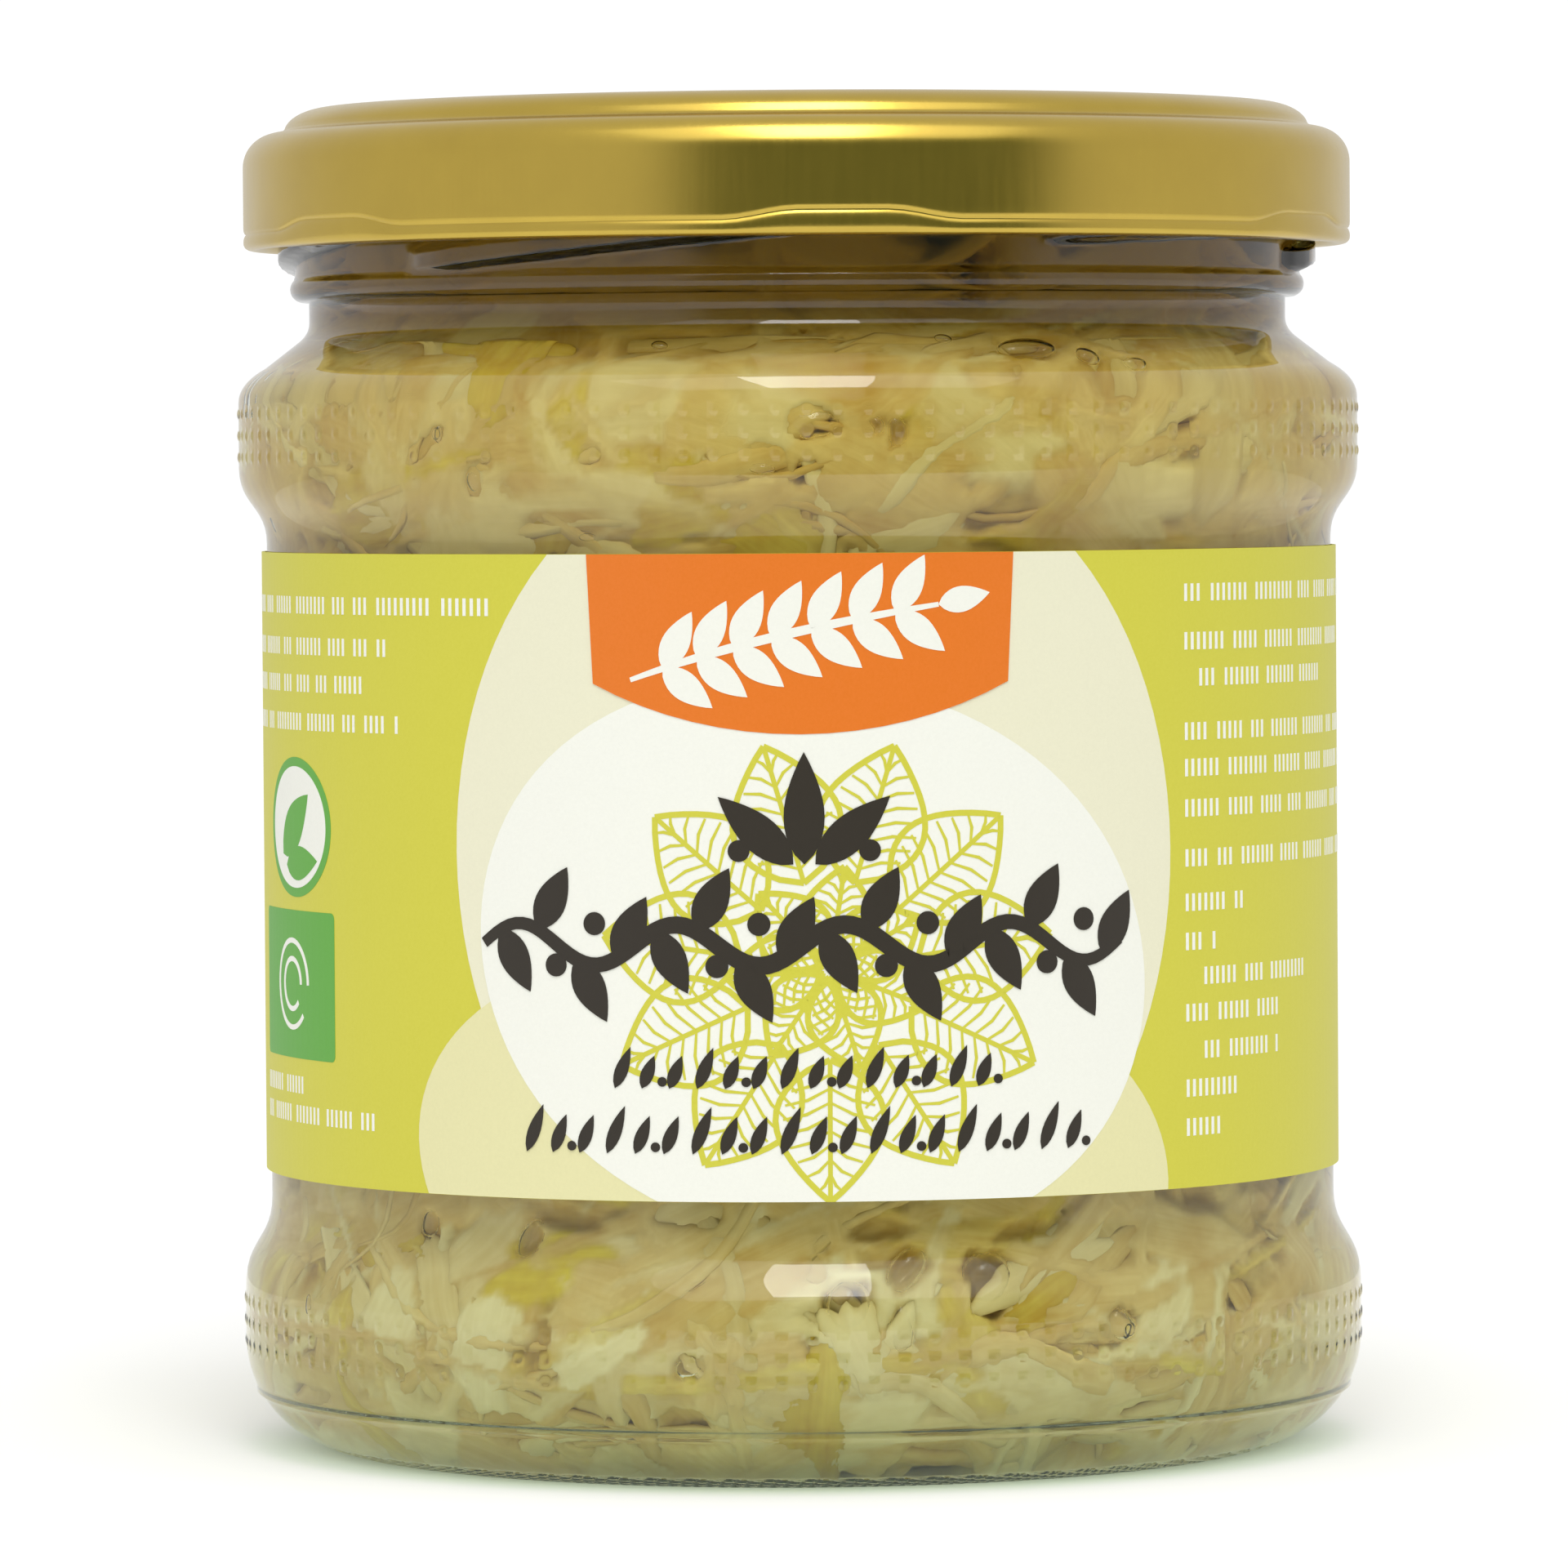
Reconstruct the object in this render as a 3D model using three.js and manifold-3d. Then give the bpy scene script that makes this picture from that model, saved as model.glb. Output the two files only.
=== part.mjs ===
// A jar of sauerkraut: a round pressed-glass jar with a six-lug twist-off lid,
// a paper label that wraps all round it, and the packed shreds inside.
import * as THREE from "three";
import { mergeVertices } from "three/addons/utils/BufferGeometryUtils.js";
import Module from "manifold-3d";

const wasm = await Module();
wasm.setup();

// Driving dimensions, in millimetres. Heights count from the surface the jar stands on,
// and angles, in degrees, from the front of the label round to the right.
const SIDES = 40;
const CURVE_STEPS = 3;

// Glass, outside
const FOOT = { inner: 31.2, outer: 34.6, pushUp: 2.4, flat: 0.8 };
const HEEL_RADIUS = 8.5;
const BODY_RADIUS = FOOT.outer + HEEL_RADIUS;
const LOWER_BAND_TOP = 11.9;
const PANEL = { radius: 41.0, bottom: 19.4, top: 69.6 };
const UPPER_BAND = { bottom: 76.4, top: 80.0 };
const SHOULDER = { turnRadius: 41.0, turn: 83.05, foot: 84.9, footRadius: 38.6, crown: 81.7 };
const GROOVE = { radius: 37.6, bottom: 86.5, bend: 85.6 };
const BEAD = { crest: 39.05, height: 89.1, section: 1.0 };
const NECK_RADIUS = 38.65;
const NECK_START = 90.2;
const RIM = { top: 99.8, rounding: 1.3 };

// Glass, inside
const BORE = { radius: 35.6, bottom: 87.2, bend: 84.2 };
const CHEST = { radius: 40.3, bottom: 76.2, top: 79.2, bend: 81.8 };
const WALL_RADIUS = 38.8;
const HIP = { radius: 39.9, top: 11.6 };
const FLOOR_FILLET = 8.2;
const FLOOR = { bend: 25.4, middle: 5.2 };

// Thread ridges on the neck: each leads down to the left from above its lug
const LUGS = 6;
const LUG_ANGLE = 4.5;
const LUG_PITCH = 360 / LUGS;
const THREAD = { radius: 40.95, height: 1.5, root: 0.8, slant: 0.3, aboveLug: 0.3 };
const THREAD_LEAD = 8;
const THREAD_TAPER = { angle: 5, least: 0.25 };
const LONG_THREAD = { run: 52, drop: 3.2 };
const SHORT_THREAD = { run: 36, drop: 1.2 };
const SHORT_THREAD_INDEX = 1;
const THREAD_STEPS = 10;

// Lid of pressed sheet with a rolled edge
const SHEET = 0.5;
const LID = { radius: 42.6, bottom: 92.1, skirtTop: 99.4 };
const CURL = { inner: 41.3, top: 93.3, corner: 0.95, bend: 0.6, chamfer: 0.4 };
const LID_SHOULDER = { radius: 40.3, height: 101.0, crown: 100.4 };
const LID_RING = { radius: 36.8, height: 102.9, inner: 33.6, outerBend: 38.8, innerBend: 34.5 };
const LID_PANEL = 101.5;
const BUTTON = { radius: 10.5, crown: 6.5, rise: 0.5 };
const LUG = { inner: 40.2, outer: 41.8, width: 7, bottom: 92.2, top: 92.8 };

// Paper label
const LABEL = { inner: 41.15, outer: 41.4, bottom: 21.6, top: 69.0 };

// Packed shreds: a lumpy core, hollowed to sit over the raised floor, with strips pressed flat
// between it and the glass
const HEAP = { bottom: 3.9, top: 93.5, crown: 94.5, sides: 28, rings: 14 };
const HEAP_HOLLOW = { radius: 22, edge: 5.4, middle: 5.7 };
const CORE_INSET = 2.3;
const LUMP = { wide: 0.5, narrow: 0.3 };
const WALL_GAP = 0.45;
const SHREDS = 46;
const SHRED_STEPS = 5;
const SHRED = { length: [14, 38], width: [1.6, 3.4], thickness: 1.5, lift: 0.7 };
const SHRED_TURN = 0.09;
const SHRED_REACH = 2.5;
const SHRED_MARGIN = 4;
const SHRED_JITTER = 12;
const GOLDEN_SHARE = 0.618034; // spreads the starts evenly round the jar
const SEED = 20413;

const RADIANS = Math.PI / 180;

// One repeatable stream of numbers from 0 to 1.
function randomStream(seed) {
  let state = seed;
  return () => {
    state = (Math.imul(state, 1664525) + 1013904223) >>> 0;
    return state / 2 ** 32;
  };
}

// A point at a radius, an angle from the front and a height.
function around(radius, angle, height) {
  const turn = angle * RADIANS;
  return new THREE.Vector3(radius * Math.sin(turn), -radius * Math.cos(turn), height);
}

// Turns an outline of radius and height, given anticlockwise, about the jar's axis.
function turned(outline, sides = SIDES) {
  return new THREE.LatheGeometry(outline, sides).rotateX(Math.PI / 2);
}

function toSolid(geometry) {
  const bare = geometry.clone();
  bare.deleteAttribute("normal");
  bare.deleteAttribute("uv");
  const merged = mergeVertices(bare, 1e-4);
  return new wasm.Manifold(
    new wasm.Mesh({
      numProp: 3,
      vertProperties: merged.attributes.position.array,
      triVerts: new Uint32Array(merged.index.array),
    }),
  );
}

function toGeometry(solid) {
  const mesh = solid.getMesh();
  const geometry = new THREE.BufferGeometry();
  geometry.setAttribute("position", new THREE.BufferAttribute(mesh.vertProperties, 3));
  geometry.setIndex(new THREE.BufferAttribute(mesh.triVerts, 1));
  geometry.computeVertexNormals();
  return geometry;
}

// Joins solids and keeps the outer skin of the largest body, so sealed pockets are filled.
function joined(geometries) {
  const whole = wasm.Manifold.union(geometries.map(toSolid));
  const bodies = whole.decompose();
  bodies.sort((a, b) => b.volume() - a.volume());
  return toGeometry(bodies[0]);
}

// Moves each vertex of a box: place(along, across, out) gives its new point.
function bentBar(length, width, thickness, steps, place) {
  const bar = new THREE.BoxGeometry(length, width, thickness, steps, 1, 1);
  const points = bar.attributes.position;
  for (let i = 0; i < points.count; i += 1) {
    const moved = place(points.getX(i), points.getY(i), points.getZ(i));
    points.setXYZ(i, moved.x, moved.y, moved.z);
  }
  return bar;
}

function glassOutside() {
  const side = new THREE.Path();
  side.moveTo(0, FOOT.pushUp);
  side.quadraticCurveTo(FOOT.inner * FOOT.flat, FOOT.pushUp, FOOT.inner, 0);
  side.lineTo(FOOT.outer, 0);
  side.absarc(FOOT.outer, HEEL_RADIUS, HEEL_RADIUS, -Math.PI / 2, 0, false);
  side.lineTo(BODY_RADIUS, LOWER_BAND_TOP);
  const lowerMiddle = (LOWER_BAND_TOP + PANEL.bottom) / 2;
  side.bezierCurveTo(BODY_RADIUS, lowerMiddle, PANEL.radius, lowerMiddle, PANEL.radius, PANEL.bottom);
  side.lineTo(PANEL.radius, PANEL.top);
  const upperMiddle = (PANEL.top + UPPER_BAND.bottom) / 2;
  side.bezierCurveTo(
    PANEL.radius, upperMiddle, BODY_RADIUS, upperMiddle, BODY_RADIUS, UPPER_BAND.bottom,
  );
  side.lineTo(BODY_RADIUS, UPPER_BAND.top);
  side.quadraticCurveTo(BODY_RADIUS, SHOULDER.crown, SHOULDER.turnRadius, SHOULDER.turn);
  side.lineTo(SHOULDER.footRadius, SHOULDER.foot);
  side.quadraticCurveTo(GROOVE.radius, GROOVE.bend, GROOVE.radius, GROOVE.bottom);
  side.lineTo(GROOVE.radius, BEAD.height - BEAD.section);
  const beadCentre = BEAD.crest - BEAD.section;
  side.absarc(beadCentre, BEAD.height, BEAD.section, -Math.PI / 2, Math.PI / 4, false);
  side.lineTo(NECK_RADIUS, NECK_START);
  side.lineTo(NECK_RADIUS, RIM.top - RIM.rounding);
  const rimCentre = { x: NECK_RADIUS - RIM.rounding, y: RIM.top - RIM.rounding };
  side.absarc(rimCentre.x, rimCentre.y, RIM.rounding, 0, Math.PI / 2, false);
  return side.getPoints(CURVE_STEPS);
}

function glassInside() {
  const side = new THREE.Path();
  side.moveTo(BORE.radius, RIM.top - RIM.rounding / 2);
  side.lineTo(BORE.radius, BORE.bottom);
  side.bezierCurveTo(BORE.radius, BORE.bend, CHEST.radius, CHEST.bend, CHEST.radius, CHEST.top);
  side.lineTo(CHEST.radius, CHEST.bottom);
  side.lineTo(WALL_RADIUS, PANEL.top);
  side.lineTo(WALL_RADIUS, PANEL.bottom);
  side.lineTo(HIP.radius, HIP.top);
  const filletCentre = HIP.radius - FLOOR_FILLET;
  side.absarc(filletCentre, HIP.top, FLOOR_FILLET, 0, -Math.PI / 2, true);
  side.quadraticCurveTo(FLOOR.bend, FLOOR.middle, 0, FLOOR.middle);
  return side.getPoints(CURVE_STEPS);
}

// One ridge, from its high end past the lug down to its low end on the left.
function thread(index) {
  const { run, drop } = index === SHORT_THREAD_INDEX ? SHORT_THREAD : LONG_THREAD;
  const lugAngle = LUG_ANGLE + index * LUG_PITCH;
  const arc = run + THREAD_LEAD;
  const innerRadius = NECK_RADIUS - THREAD.root;
  const depth = THREAD.radius - innerRadius;
  const place = (along, across, out) => {
    const angle = lugAngle + THREAD_LEAD - arc / 2 + along;
    const below = Math.max(lugAngle - angle, 0) / run;
    const toEnd = (arc / 2 - Math.abs(along)) / THREAD_TAPER.angle;
    const fullness = THREE.MathUtils.lerp(THREAD_TAPER.least, 1, Math.min(toEnd, 1));
    const radius = out > 0 ? innerRadius + depth * fullness : innerRadius;
    const underside = LUG.top + THREAD.aboveLug - drop * below;
    const slant = out > 0 ? THREAD.slant : 0;
    const rise = across > 0 ? THREAD.height - slant : slant;
    return around(radius, angle, underside + rise);
  };
  return bentBar(arc, THREAD.height, depth, THREAD_STEPS, place);
}

function jarGlass() {
  const body = turned([...glassOutside(), ...glassInside()]);
  const threads = Array.from({ length: LUGS }, (_, index) => thread(index));
  return joined([body, ...threads]);
}

// The same run of points one sheet thickness further in.
function sheetInside(points) {
  return points.map((point, i) => {
    const before = points[Math.max(i - 1, 0)];
    const after = points[Math.min(i + 1, points.length - 1)];
    const along = after.clone().sub(before).normalize();
    const inner = new THREE.Vector2(point.x - along.y * SHEET, point.y + along.x * SHEET);
    return point.x === 0 ? new THREE.Vector2(0, point.y - SHEET) : inner;
  });
}

function lidOutside() {
  const side = new THREE.Path();
  side.moveTo(LID.radius, CURL.top + SHEET);
  side.lineTo(LID.radius, LID.skirtTop);
  side.quadraticCurveTo(LID.radius, LID_SHOULDER.crown, LID_SHOULDER.radius, LID_SHOULDER.height);
  side.quadraticCurveTo(LID_RING.outerBend, LID_RING.height, LID_RING.radius, LID_RING.height);
  side.quadraticCurveTo(LID_RING.innerBend, LID_RING.height, LID_RING.inner, LID_PANEL);
  side.lineTo(BUTTON.radius, LID_PANEL);
  side.lineTo(BUTTON.crown, LID_PANEL + BUTTON.rise);
  side.lineTo(0, LID_PANEL + BUTTON.rise);
  return side.getPoints(CURVE_STEPS);
}

// The rolled edge, from its inner top down and round to the skirt.
function lidCurl() {
  const side = new THREE.Path();
  side.moveTo(CURL.inner + CURL.chamfer, CURL.top);
  side.lineTo(CURL.inner, CURL.top - CURL.chamfer);
  side.quadraticCurveTo(CURL.inner, LID.bottom, CURL.inner + CURL.bend, LID.bottom);
  side.quadraticCurveTo(LID.radius, LID.bottom, LID.radius, LID.bottom + CURL.corner);
  return side.getPoints(CURVE_STEPS - 1);
}

// A tab that the edge turns in under its thread.
function lug(index) {
  const depth = LUG.outer - LUG.inner;
  const place = (along, across, out) => {
    const radius = LUG.inner + depth / 2 + out;
    const height = (LUG.bottom + LUG.top) / 2 + across;
    return around(radius, LUG_ANGLE + index * LUG_PITCH + along, height);
  };
  return bentBar(LUG.width, LUG.top - LUG.bottom, depth, 2, place);
}

function lid() {
  const outside = lidOutside();
  const inside = sheetInside(outside).reverse();
  const body = turned([...inside, ...lidCurl(), ...outside]);
  const lugs = Array.from({ length: LUGS }, (_, index) => lug(index));
  return joined([body, ...lugs]);
}

function label() {
  const section = [
    new THREE.Vector2(LABEL.inner, LABEL.bottom),
    new THREE.Vector2(LABEL.outer, LABEL.bottom),
    new THREE.Vector2(LABEL.outer, LABEL.top),
    new THREE.Vector2(LABEL.inner, LABEL.top),
    new THREE.Vector2(LABEL.inner, LABEL.bottom),
  ];
  return turned(section);
}

const boreOutline = glassInside();

// Inner radius of the glass at a height.
function boreAt(height) {
  const below = boreOutline.findIndex((point) => point.y <= height);
  const high = boreOutline[below - 1];
  const low = boreOutline[below];
  const part = (height - low.y) / (high.y - low.y);
  return low.x + part * (high.x - low.x);
}

// The smallest inner radius within a reach above and below a height.
function roomAt(height, reach) {
  const heights = [-1, -0.5, 0, 0.5, 1].map((share) => Math.max(height + share * reach, HEAP.bottom));
  return Math.min(...heights.map(boreAt));
}

// Slow lumps of the packed heap, one whole pattern round the jar.
function lump(angle, height) {
  const turn = angle * RADIANS;
  const wide = Math.sin(5 * turn + height / 9) * Math.cos(3 * turn - height / 6);
  const narrow = Math.sin(11 * turn - height / 4) * Math.sin(height / 3.1);
  return LUMP.wide * wide + LUMP.narrow * narrow;
}

function heapCore() {
  const step = (HEAP.top - HEAP.bottom) / (HEAP.rings - 1);
  const wall = Array.from({ length: HEAP.rings }, (_, i) => {
    const height = HEAP.bottom + i * step;
    return new THREE.Vector2(roomAt(height, step / 2) - CORE_INSET, height);
  });
  const underside = [
    new THREE.Vector2(0, HEAP_HOLLOW.middle),
    new THREE.Vector2(HEAP_HOLLOW.radius, HEAP_HOLLOW.edge),
  ];
  const outline = [...underside, ...wall, new THREE.Vector2(0, HEAP.crown)];
  const core = turned(outline, HEAP.sides);
  const points = core.attributes.position;
  for (let i = 0; i < points.count; i += 1) {
    const [x, y, z] = [points.getX(i), points.getY(i), points.getZ(i)];
    const radius = Math.hypot(x, y);
    if (radius > 1) {
      const scale = 1 + lump(Math.atan2(x, -y) / RADIANS, z) / radius;
      points.setXYZ(i, x * scale, y * scale, z);
    }
  }
  return core;
}

// One shred, pressed against the glass along a curving path.
function shred(index, random) {
  const between = ([low, high]) => low + (high - low) * random();
  const length = between(SHRED.length);
  const width = between(SHRED.width);
  const lift = SHRED.lift * random();
  const span = HEAP.top - HEAP.bottom - 2 * SHRED_MARGIN;
  const row = (index + 0.5) / SHREDS;
  let height = HEAP.bottom + SHRED_MARGIN + span * row;
  let angle = 360 * ((index * GOLDEN_SHARE) % 1) + SHRED_JITTER * random();
  let heading = (random() - 0.5) * Math.PI;
  const turn = (random() - 0.5) * 2 * SHRED_TURN;
  const step = length / SHRED_STEPS;
  const route = [];
  for (let i = 0; i <= SHRED_STEPS; i += 1) {
    const lowest = HEAP.bottom + SHRED_MARGIN;
    const held = THREE.MathUtils.clamp(height, lowest, lowest + span);
    route.push({ angle, height: held, heading });
    angle += (Math.cos(heading) * step) / boreAt(held) / RADIANS;
    height += Math.sin(heading) * step;
    heading += turn * step;
  }
  const place = (along, across, out) => {
    const at = route[Math.round((along + length / 2) / step)];
    const high = at.height + across * Math.cos(at.heading);
    const room = roomAt(high, SHRED_REACH);
    const sideways = (across * Math.sin(at.heading)) / room / RADIANS;
    const radius = room - WALL_GAP - lift - SHRED.thickness / 2 + out;
    return around(radius, at.angle - sideways, high);
  };
  return bentBar(length, width, SHRED.thickness, SHRED_STEPS, place);
}

function sauerkraut() {
  const random = randomStream(SEED);
  const shreds = Array.from({ length: SHREDS }, (_, index) => shred(index, random));
  return joined([heapCore(), ...shreds]);
}

function piece(name, geometry, look) {
  const mesh = new THREE.Mesh(geometry, new THREE.MeshStandardMaterial(look));
  mesh.name = name;
  return mesh;
}

const jar = new THREE.Group();
jar.add(
  piece("jar_glass", jarGlass(), {
    color: 0xdfe6d8, roughness: 0.03, metalness: 0, transparent: true, opacity: 0.35,
  }),
  piece("lid", lid(), { color: 0xd2b04c, roughness: 0.3, metalness: 1 }),
  piece("label", label(), { color: 0xd2cf4e, roughness: 0.55, metalness: 0 }),
  piece("sauerkraut", sauerkraut(), { color: 0xd8cb98, roughness: 0.4, metalness: 0 }),
);

export default jar;
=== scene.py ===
"""A glass jar of sauerkraut with a gold twist-off lid and a wrap-round paper label.

Every length is in metres, +Z is up, and -Y is the front of the label. Angles round the jar
count from the front towards +X.
"""
import math
import random

import bmesh
import bpy
import numpy as np
from bpy.props import FloatProperty, FloatVectorProperty, IntProperty, PointerProperty
from mathutils import Matrix, Vector


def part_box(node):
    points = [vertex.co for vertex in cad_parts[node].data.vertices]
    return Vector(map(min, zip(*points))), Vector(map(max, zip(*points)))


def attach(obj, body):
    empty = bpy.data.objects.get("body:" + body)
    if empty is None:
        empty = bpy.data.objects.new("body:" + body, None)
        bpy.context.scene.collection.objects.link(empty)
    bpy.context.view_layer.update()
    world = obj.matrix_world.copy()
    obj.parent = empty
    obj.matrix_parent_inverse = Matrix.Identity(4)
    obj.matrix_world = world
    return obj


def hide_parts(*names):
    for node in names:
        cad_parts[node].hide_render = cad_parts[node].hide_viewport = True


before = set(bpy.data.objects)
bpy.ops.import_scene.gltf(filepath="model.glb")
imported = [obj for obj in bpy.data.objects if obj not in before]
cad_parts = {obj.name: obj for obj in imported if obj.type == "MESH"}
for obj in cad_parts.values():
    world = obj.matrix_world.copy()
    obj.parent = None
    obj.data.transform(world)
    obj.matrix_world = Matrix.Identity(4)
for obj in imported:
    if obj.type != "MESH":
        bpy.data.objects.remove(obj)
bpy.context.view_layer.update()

bl_info = {
    "name": "Sauerkraut jar",
    "version": (1, 0, 0),
    "blender": (4, 5, 0),
    "location": "View3D > Sidebar > Jar",
    "description": "Builds a jar of sauerkraut, piece by piece",
    "category": "Add Mesh",
}

GLASS_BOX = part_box("jar_glass")
LID_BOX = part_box("lid")
LABEL_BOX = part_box("label")
MM = 0.001
FULL_TURN = 2 * math.pi
TURN_STEPS = 240
WHITE = (1.0, 1.0, 1.0, 1.0)
GLASS_IOR, BRINE_IOR = 1.52, 1.34

# Glass, outside
FOOT_INNER, FOOT_OUTER, PUSH_UP = 31.2 * MM, 34.6 * MM, 2.4 * MM
HEEL_RADIUS = 8.5 * MM
PANEL_RADIUS, PANEL_BOTTOM, PANEL_TOP = 41.0 * MM, 19.4 * MM, 69.6 * MM
KNURL_TOP, KNURL_LEAN, KNURL_HALF = 0.9 * MM, 3.15, 0.28
DOT_PITCH, DOT_MARGIN = 1.65 * MM, 0.11 * MM
LOWER_DOTS, UPPER_DOTS = 9.95 * MM, 77.9 * MM
SHOULDER_CROWN = 81.9 * MM
SHOULDER_TURN = (41.0 * MM, 83.05 * MM)
SHOULDER_FOOT = (38.6 * MM, 84.9 * MM)
GROOVE_RADIUS, GROOVE_BEND, GROOVE_BOTTOM = 37.6 * MM, 85.6 * MM, 86.5 * MM
BEAD_CREST, BEAD_HEIGHT, BEAD_SECTION = 39.05 * MM, 89.1 * MM, 1.0 * MM
NECK_RADIUS, NECK_START = 38.65 * MM, 90.2 * MM
RIM_TOP, RIM_ROUNDING = 99.8 * MM, 1.3 * MM
SEAM_HEIGHT, SEAM_WIDTH, SEAM_RISE = 4.5 * MM, 0.24 * MM, 0.24 * MM

# Glass, inside
BORE_RADIUS, BORE_BOTTOM, BORE_BEND = 35.6 * MM, 87.2 * MM, 84.2 * MM
CHEST_RADIUS, CHEST_BOTTOM, CHEST_TOP, CHEST_BEND = 40.3 * MM, 76.2 * MM, 79.2 * MM, 81.8 * MM
WALL_RADIUS = 38.8 * MM
HIP_RADIUS, HIP_TOP = 39.9 * MM, 11.6 * MM
FLOOR_MIDDLE, FLOOR_BEND, FLOOR_FILLET = 5.2 * MM, 25.4 * MM, 8.2 * MM
FLOOR_STEPS = 8
BRINE_TOP = 95.6 * MM

# Threads: each ridge leads down to the left from above its lug
LUGS = 6
LUG_ANGLE = 4.5
THREAD_HALF_HEIGHT, THREAD_DEPTH, THREAD_LEVEL = 0.95 * MM, 1.3 * MM, 93.85 * MM
THREAD_LEAD, THREAD_TAPER = 8, 6
LONG_RUN, LONG_DROP = 52, 3.2 * MM
SHORT_RUN, SHORT_DROP, SHORT_INDEX = 36, 1.2 * MM, 1

# Lid
LID_BOTTOM, SKIRT_TOP, SHEET = 92.1 * MM, 98.45 * MM, 0.35 * MM
CREASE_DEPTH, CREASE_HEIGHT, CREASE_END, CREASE_REACH = 0.2 * MM, 93.3 * MM, 93.8 * MM, 4.0 * MM
CURL_INNER, CURL_LIP, CURL_CORNER = 41.2 * MM, 41.65 * MM, 41.8 * MM
LID_ROUNDING, RING_FOOT = 2.6 * MM, (39.4 * MM, 101.35 * MM)
RING_FOOT_BEND, RING_FLANK, RING_CREST = 39.7 * MM, (39.1 * MM, 102.45 * MM), 37.4 * MM
RING_RADIUS, RING_TOP, RING_FALL, RING_INNER = 36.8 * MM, 102.9 * MM, 34.5 * MM, 33.6 * MM
LID_PANEL = 101.5 * MM
BUTTON_RADIUS, BUTTON_CROWN, BUTTON_RISE = 10.5 * MM, 6.5 * MM, 0.5 * MM
LUG_HALF_WIDTH, LUG_SLOPE, LUG_REACH = 4.5, 7.5, 0.9 * MM

# Label: crossing pen lines of one ink lie a hair apart, and no ink reaches the paper's cut edge
PAPER, INK_LIFT, INK_MARGIN = 0.25 * MM, 0.9e-6, 0.02 * MM

# Stage: the floor's half width and its ends before and behind the jar, then the lamps, each with
# its size and place, and the point that they face
FLOOR_SIDE, FLOOR_FRONT, FLOOR_BACK = 0.6, 0.3, 0.2
WIDE_LAMP = ((0.95, 0.72), (0.06, -0.47, 0.76))
MIDDLE_LAMP = ((0.26, 0.60), (0.03, -0.44, 0.74))
LAMP_AIM = Vector((0, 0, 0.08))

# The dark front of the walls: how far it is turned, and the degrees to the side, upwards and
# downwards at which it starts and is full
FRONT_TURN = -15
FRONT_FADES = {"side": (47, 31), "up": (44, 28), "down": (-28, -16)}
FRONT_TINT = (0.85, 1.0, 0.7)
SEEN_WHITE = (1.05, 1.05, 1.05, 1.0)

# Camera, placed from the photograph's perspective
CAMERA_PLACE = (-1.25 * MM, -737.6 * MM, 76.2 * MM)
CAMERA_PITCH, CAMERA_ROLL, CAMERA_LENS, CAMERA_SENSOR = 1.976, -0.381, 219.3, 36.0


def length(name, description, metres):
    """A length setting."""
    return FloatProperty(
        name=name, description=description, default=metres, unit="LENGTH", precision=5
    )


def linear(hex_colour):
    """A colour written as sRGB hex, as the linear colour with alpha that the shaders take."""
    parts = [int(hex_colour[i : i + 2], 16) / 255 for i in (1, 3, 5)]
    return (*[c / 12.92 if c <= 0.04045 else ((c + 0.055) / 1.055) ** 2.4 for c in parts], 1.0)


def colour(name, description, hex_colour):
    """A colour setting, given as sRGB hex."""
    return FloatVectorProperty(
        name=name, description=description, default=linear(hex_colour), size=4,
        subtype="COLOR", min=0.0, max=1.0,
    )


class GlassSettings(bpy.types.PropertyGroup):
    body_radius: length("Body radius", "Outside radius of the two bulging bands", GLASS_BOX[1].x)
    dots: IntProperty(name="Dots in a row", description="Grip dots round the jar", default=120)
    dot_radius: length("Dot radius", "Radius of one grip dot", 0.44 * MM)
    dot_rise: length("Dot rise", "How far a grip dot stands out", 0.11 * MM)
    notches: IntProperty(name="Notches", description="Knurl notches round the foot", default=80)
    notch_depth: length("Notch depth", "Depth of a knurl notch in the foot", 0.28 * MM)
    absorb: colour("Absorption", "Colour that thick glass takes on", "#a2cfa8")


class LidSettings(bpy.types.PropertyGroup):
    radius: length("Radius", "Outside radius of the skirt", LID_BOX[1].x)
    lug_rise: length("Lug rise", "How much taller the edge is at a lug", 0.75 * MM)
    gold: colour("Gold", "Gold lacquer over tinplate", "#c6ab4c")
    scuffed: colour("Worn gold", "Lacquer dulled by handling", "#b99e46")


class LabelSettings(bpy.types.PropertyGroup):
    radius: length("Radius", "Outside radius of the paper", LABEL_BOX[1].x)
    bottom: length("Bottom", "Height of the lower edge", LABEL_BOX[0].z)
    top: length("Top", "Height of the upper edge", LABEL_BOX[1].z)
    ink_step: length("Ink step", "Height of one printed layer over the last", 0.02 * MM)
    ground: colour("Ground", "Yellow-green ground", "#d0cb45")
    cream: colour("Cream", "Pale oval behind the middle", "#e9e6cb")
    beige: colour("Beige", "Deeper oval at the foot", "#e4dfac")
    paper: colour("Paper white", "Unprinted oval", "#f1f1e8")
    orange: colour("Orange", "Tab at the top", "#e47823")
    line: colour("Line green", "Leaf drawing", "#cfcb45")
    black: colour("Black", "Ornament rows", "#2b241a")
    green: colour("Green", "Small panel at the side", "#5fa83c")


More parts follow.
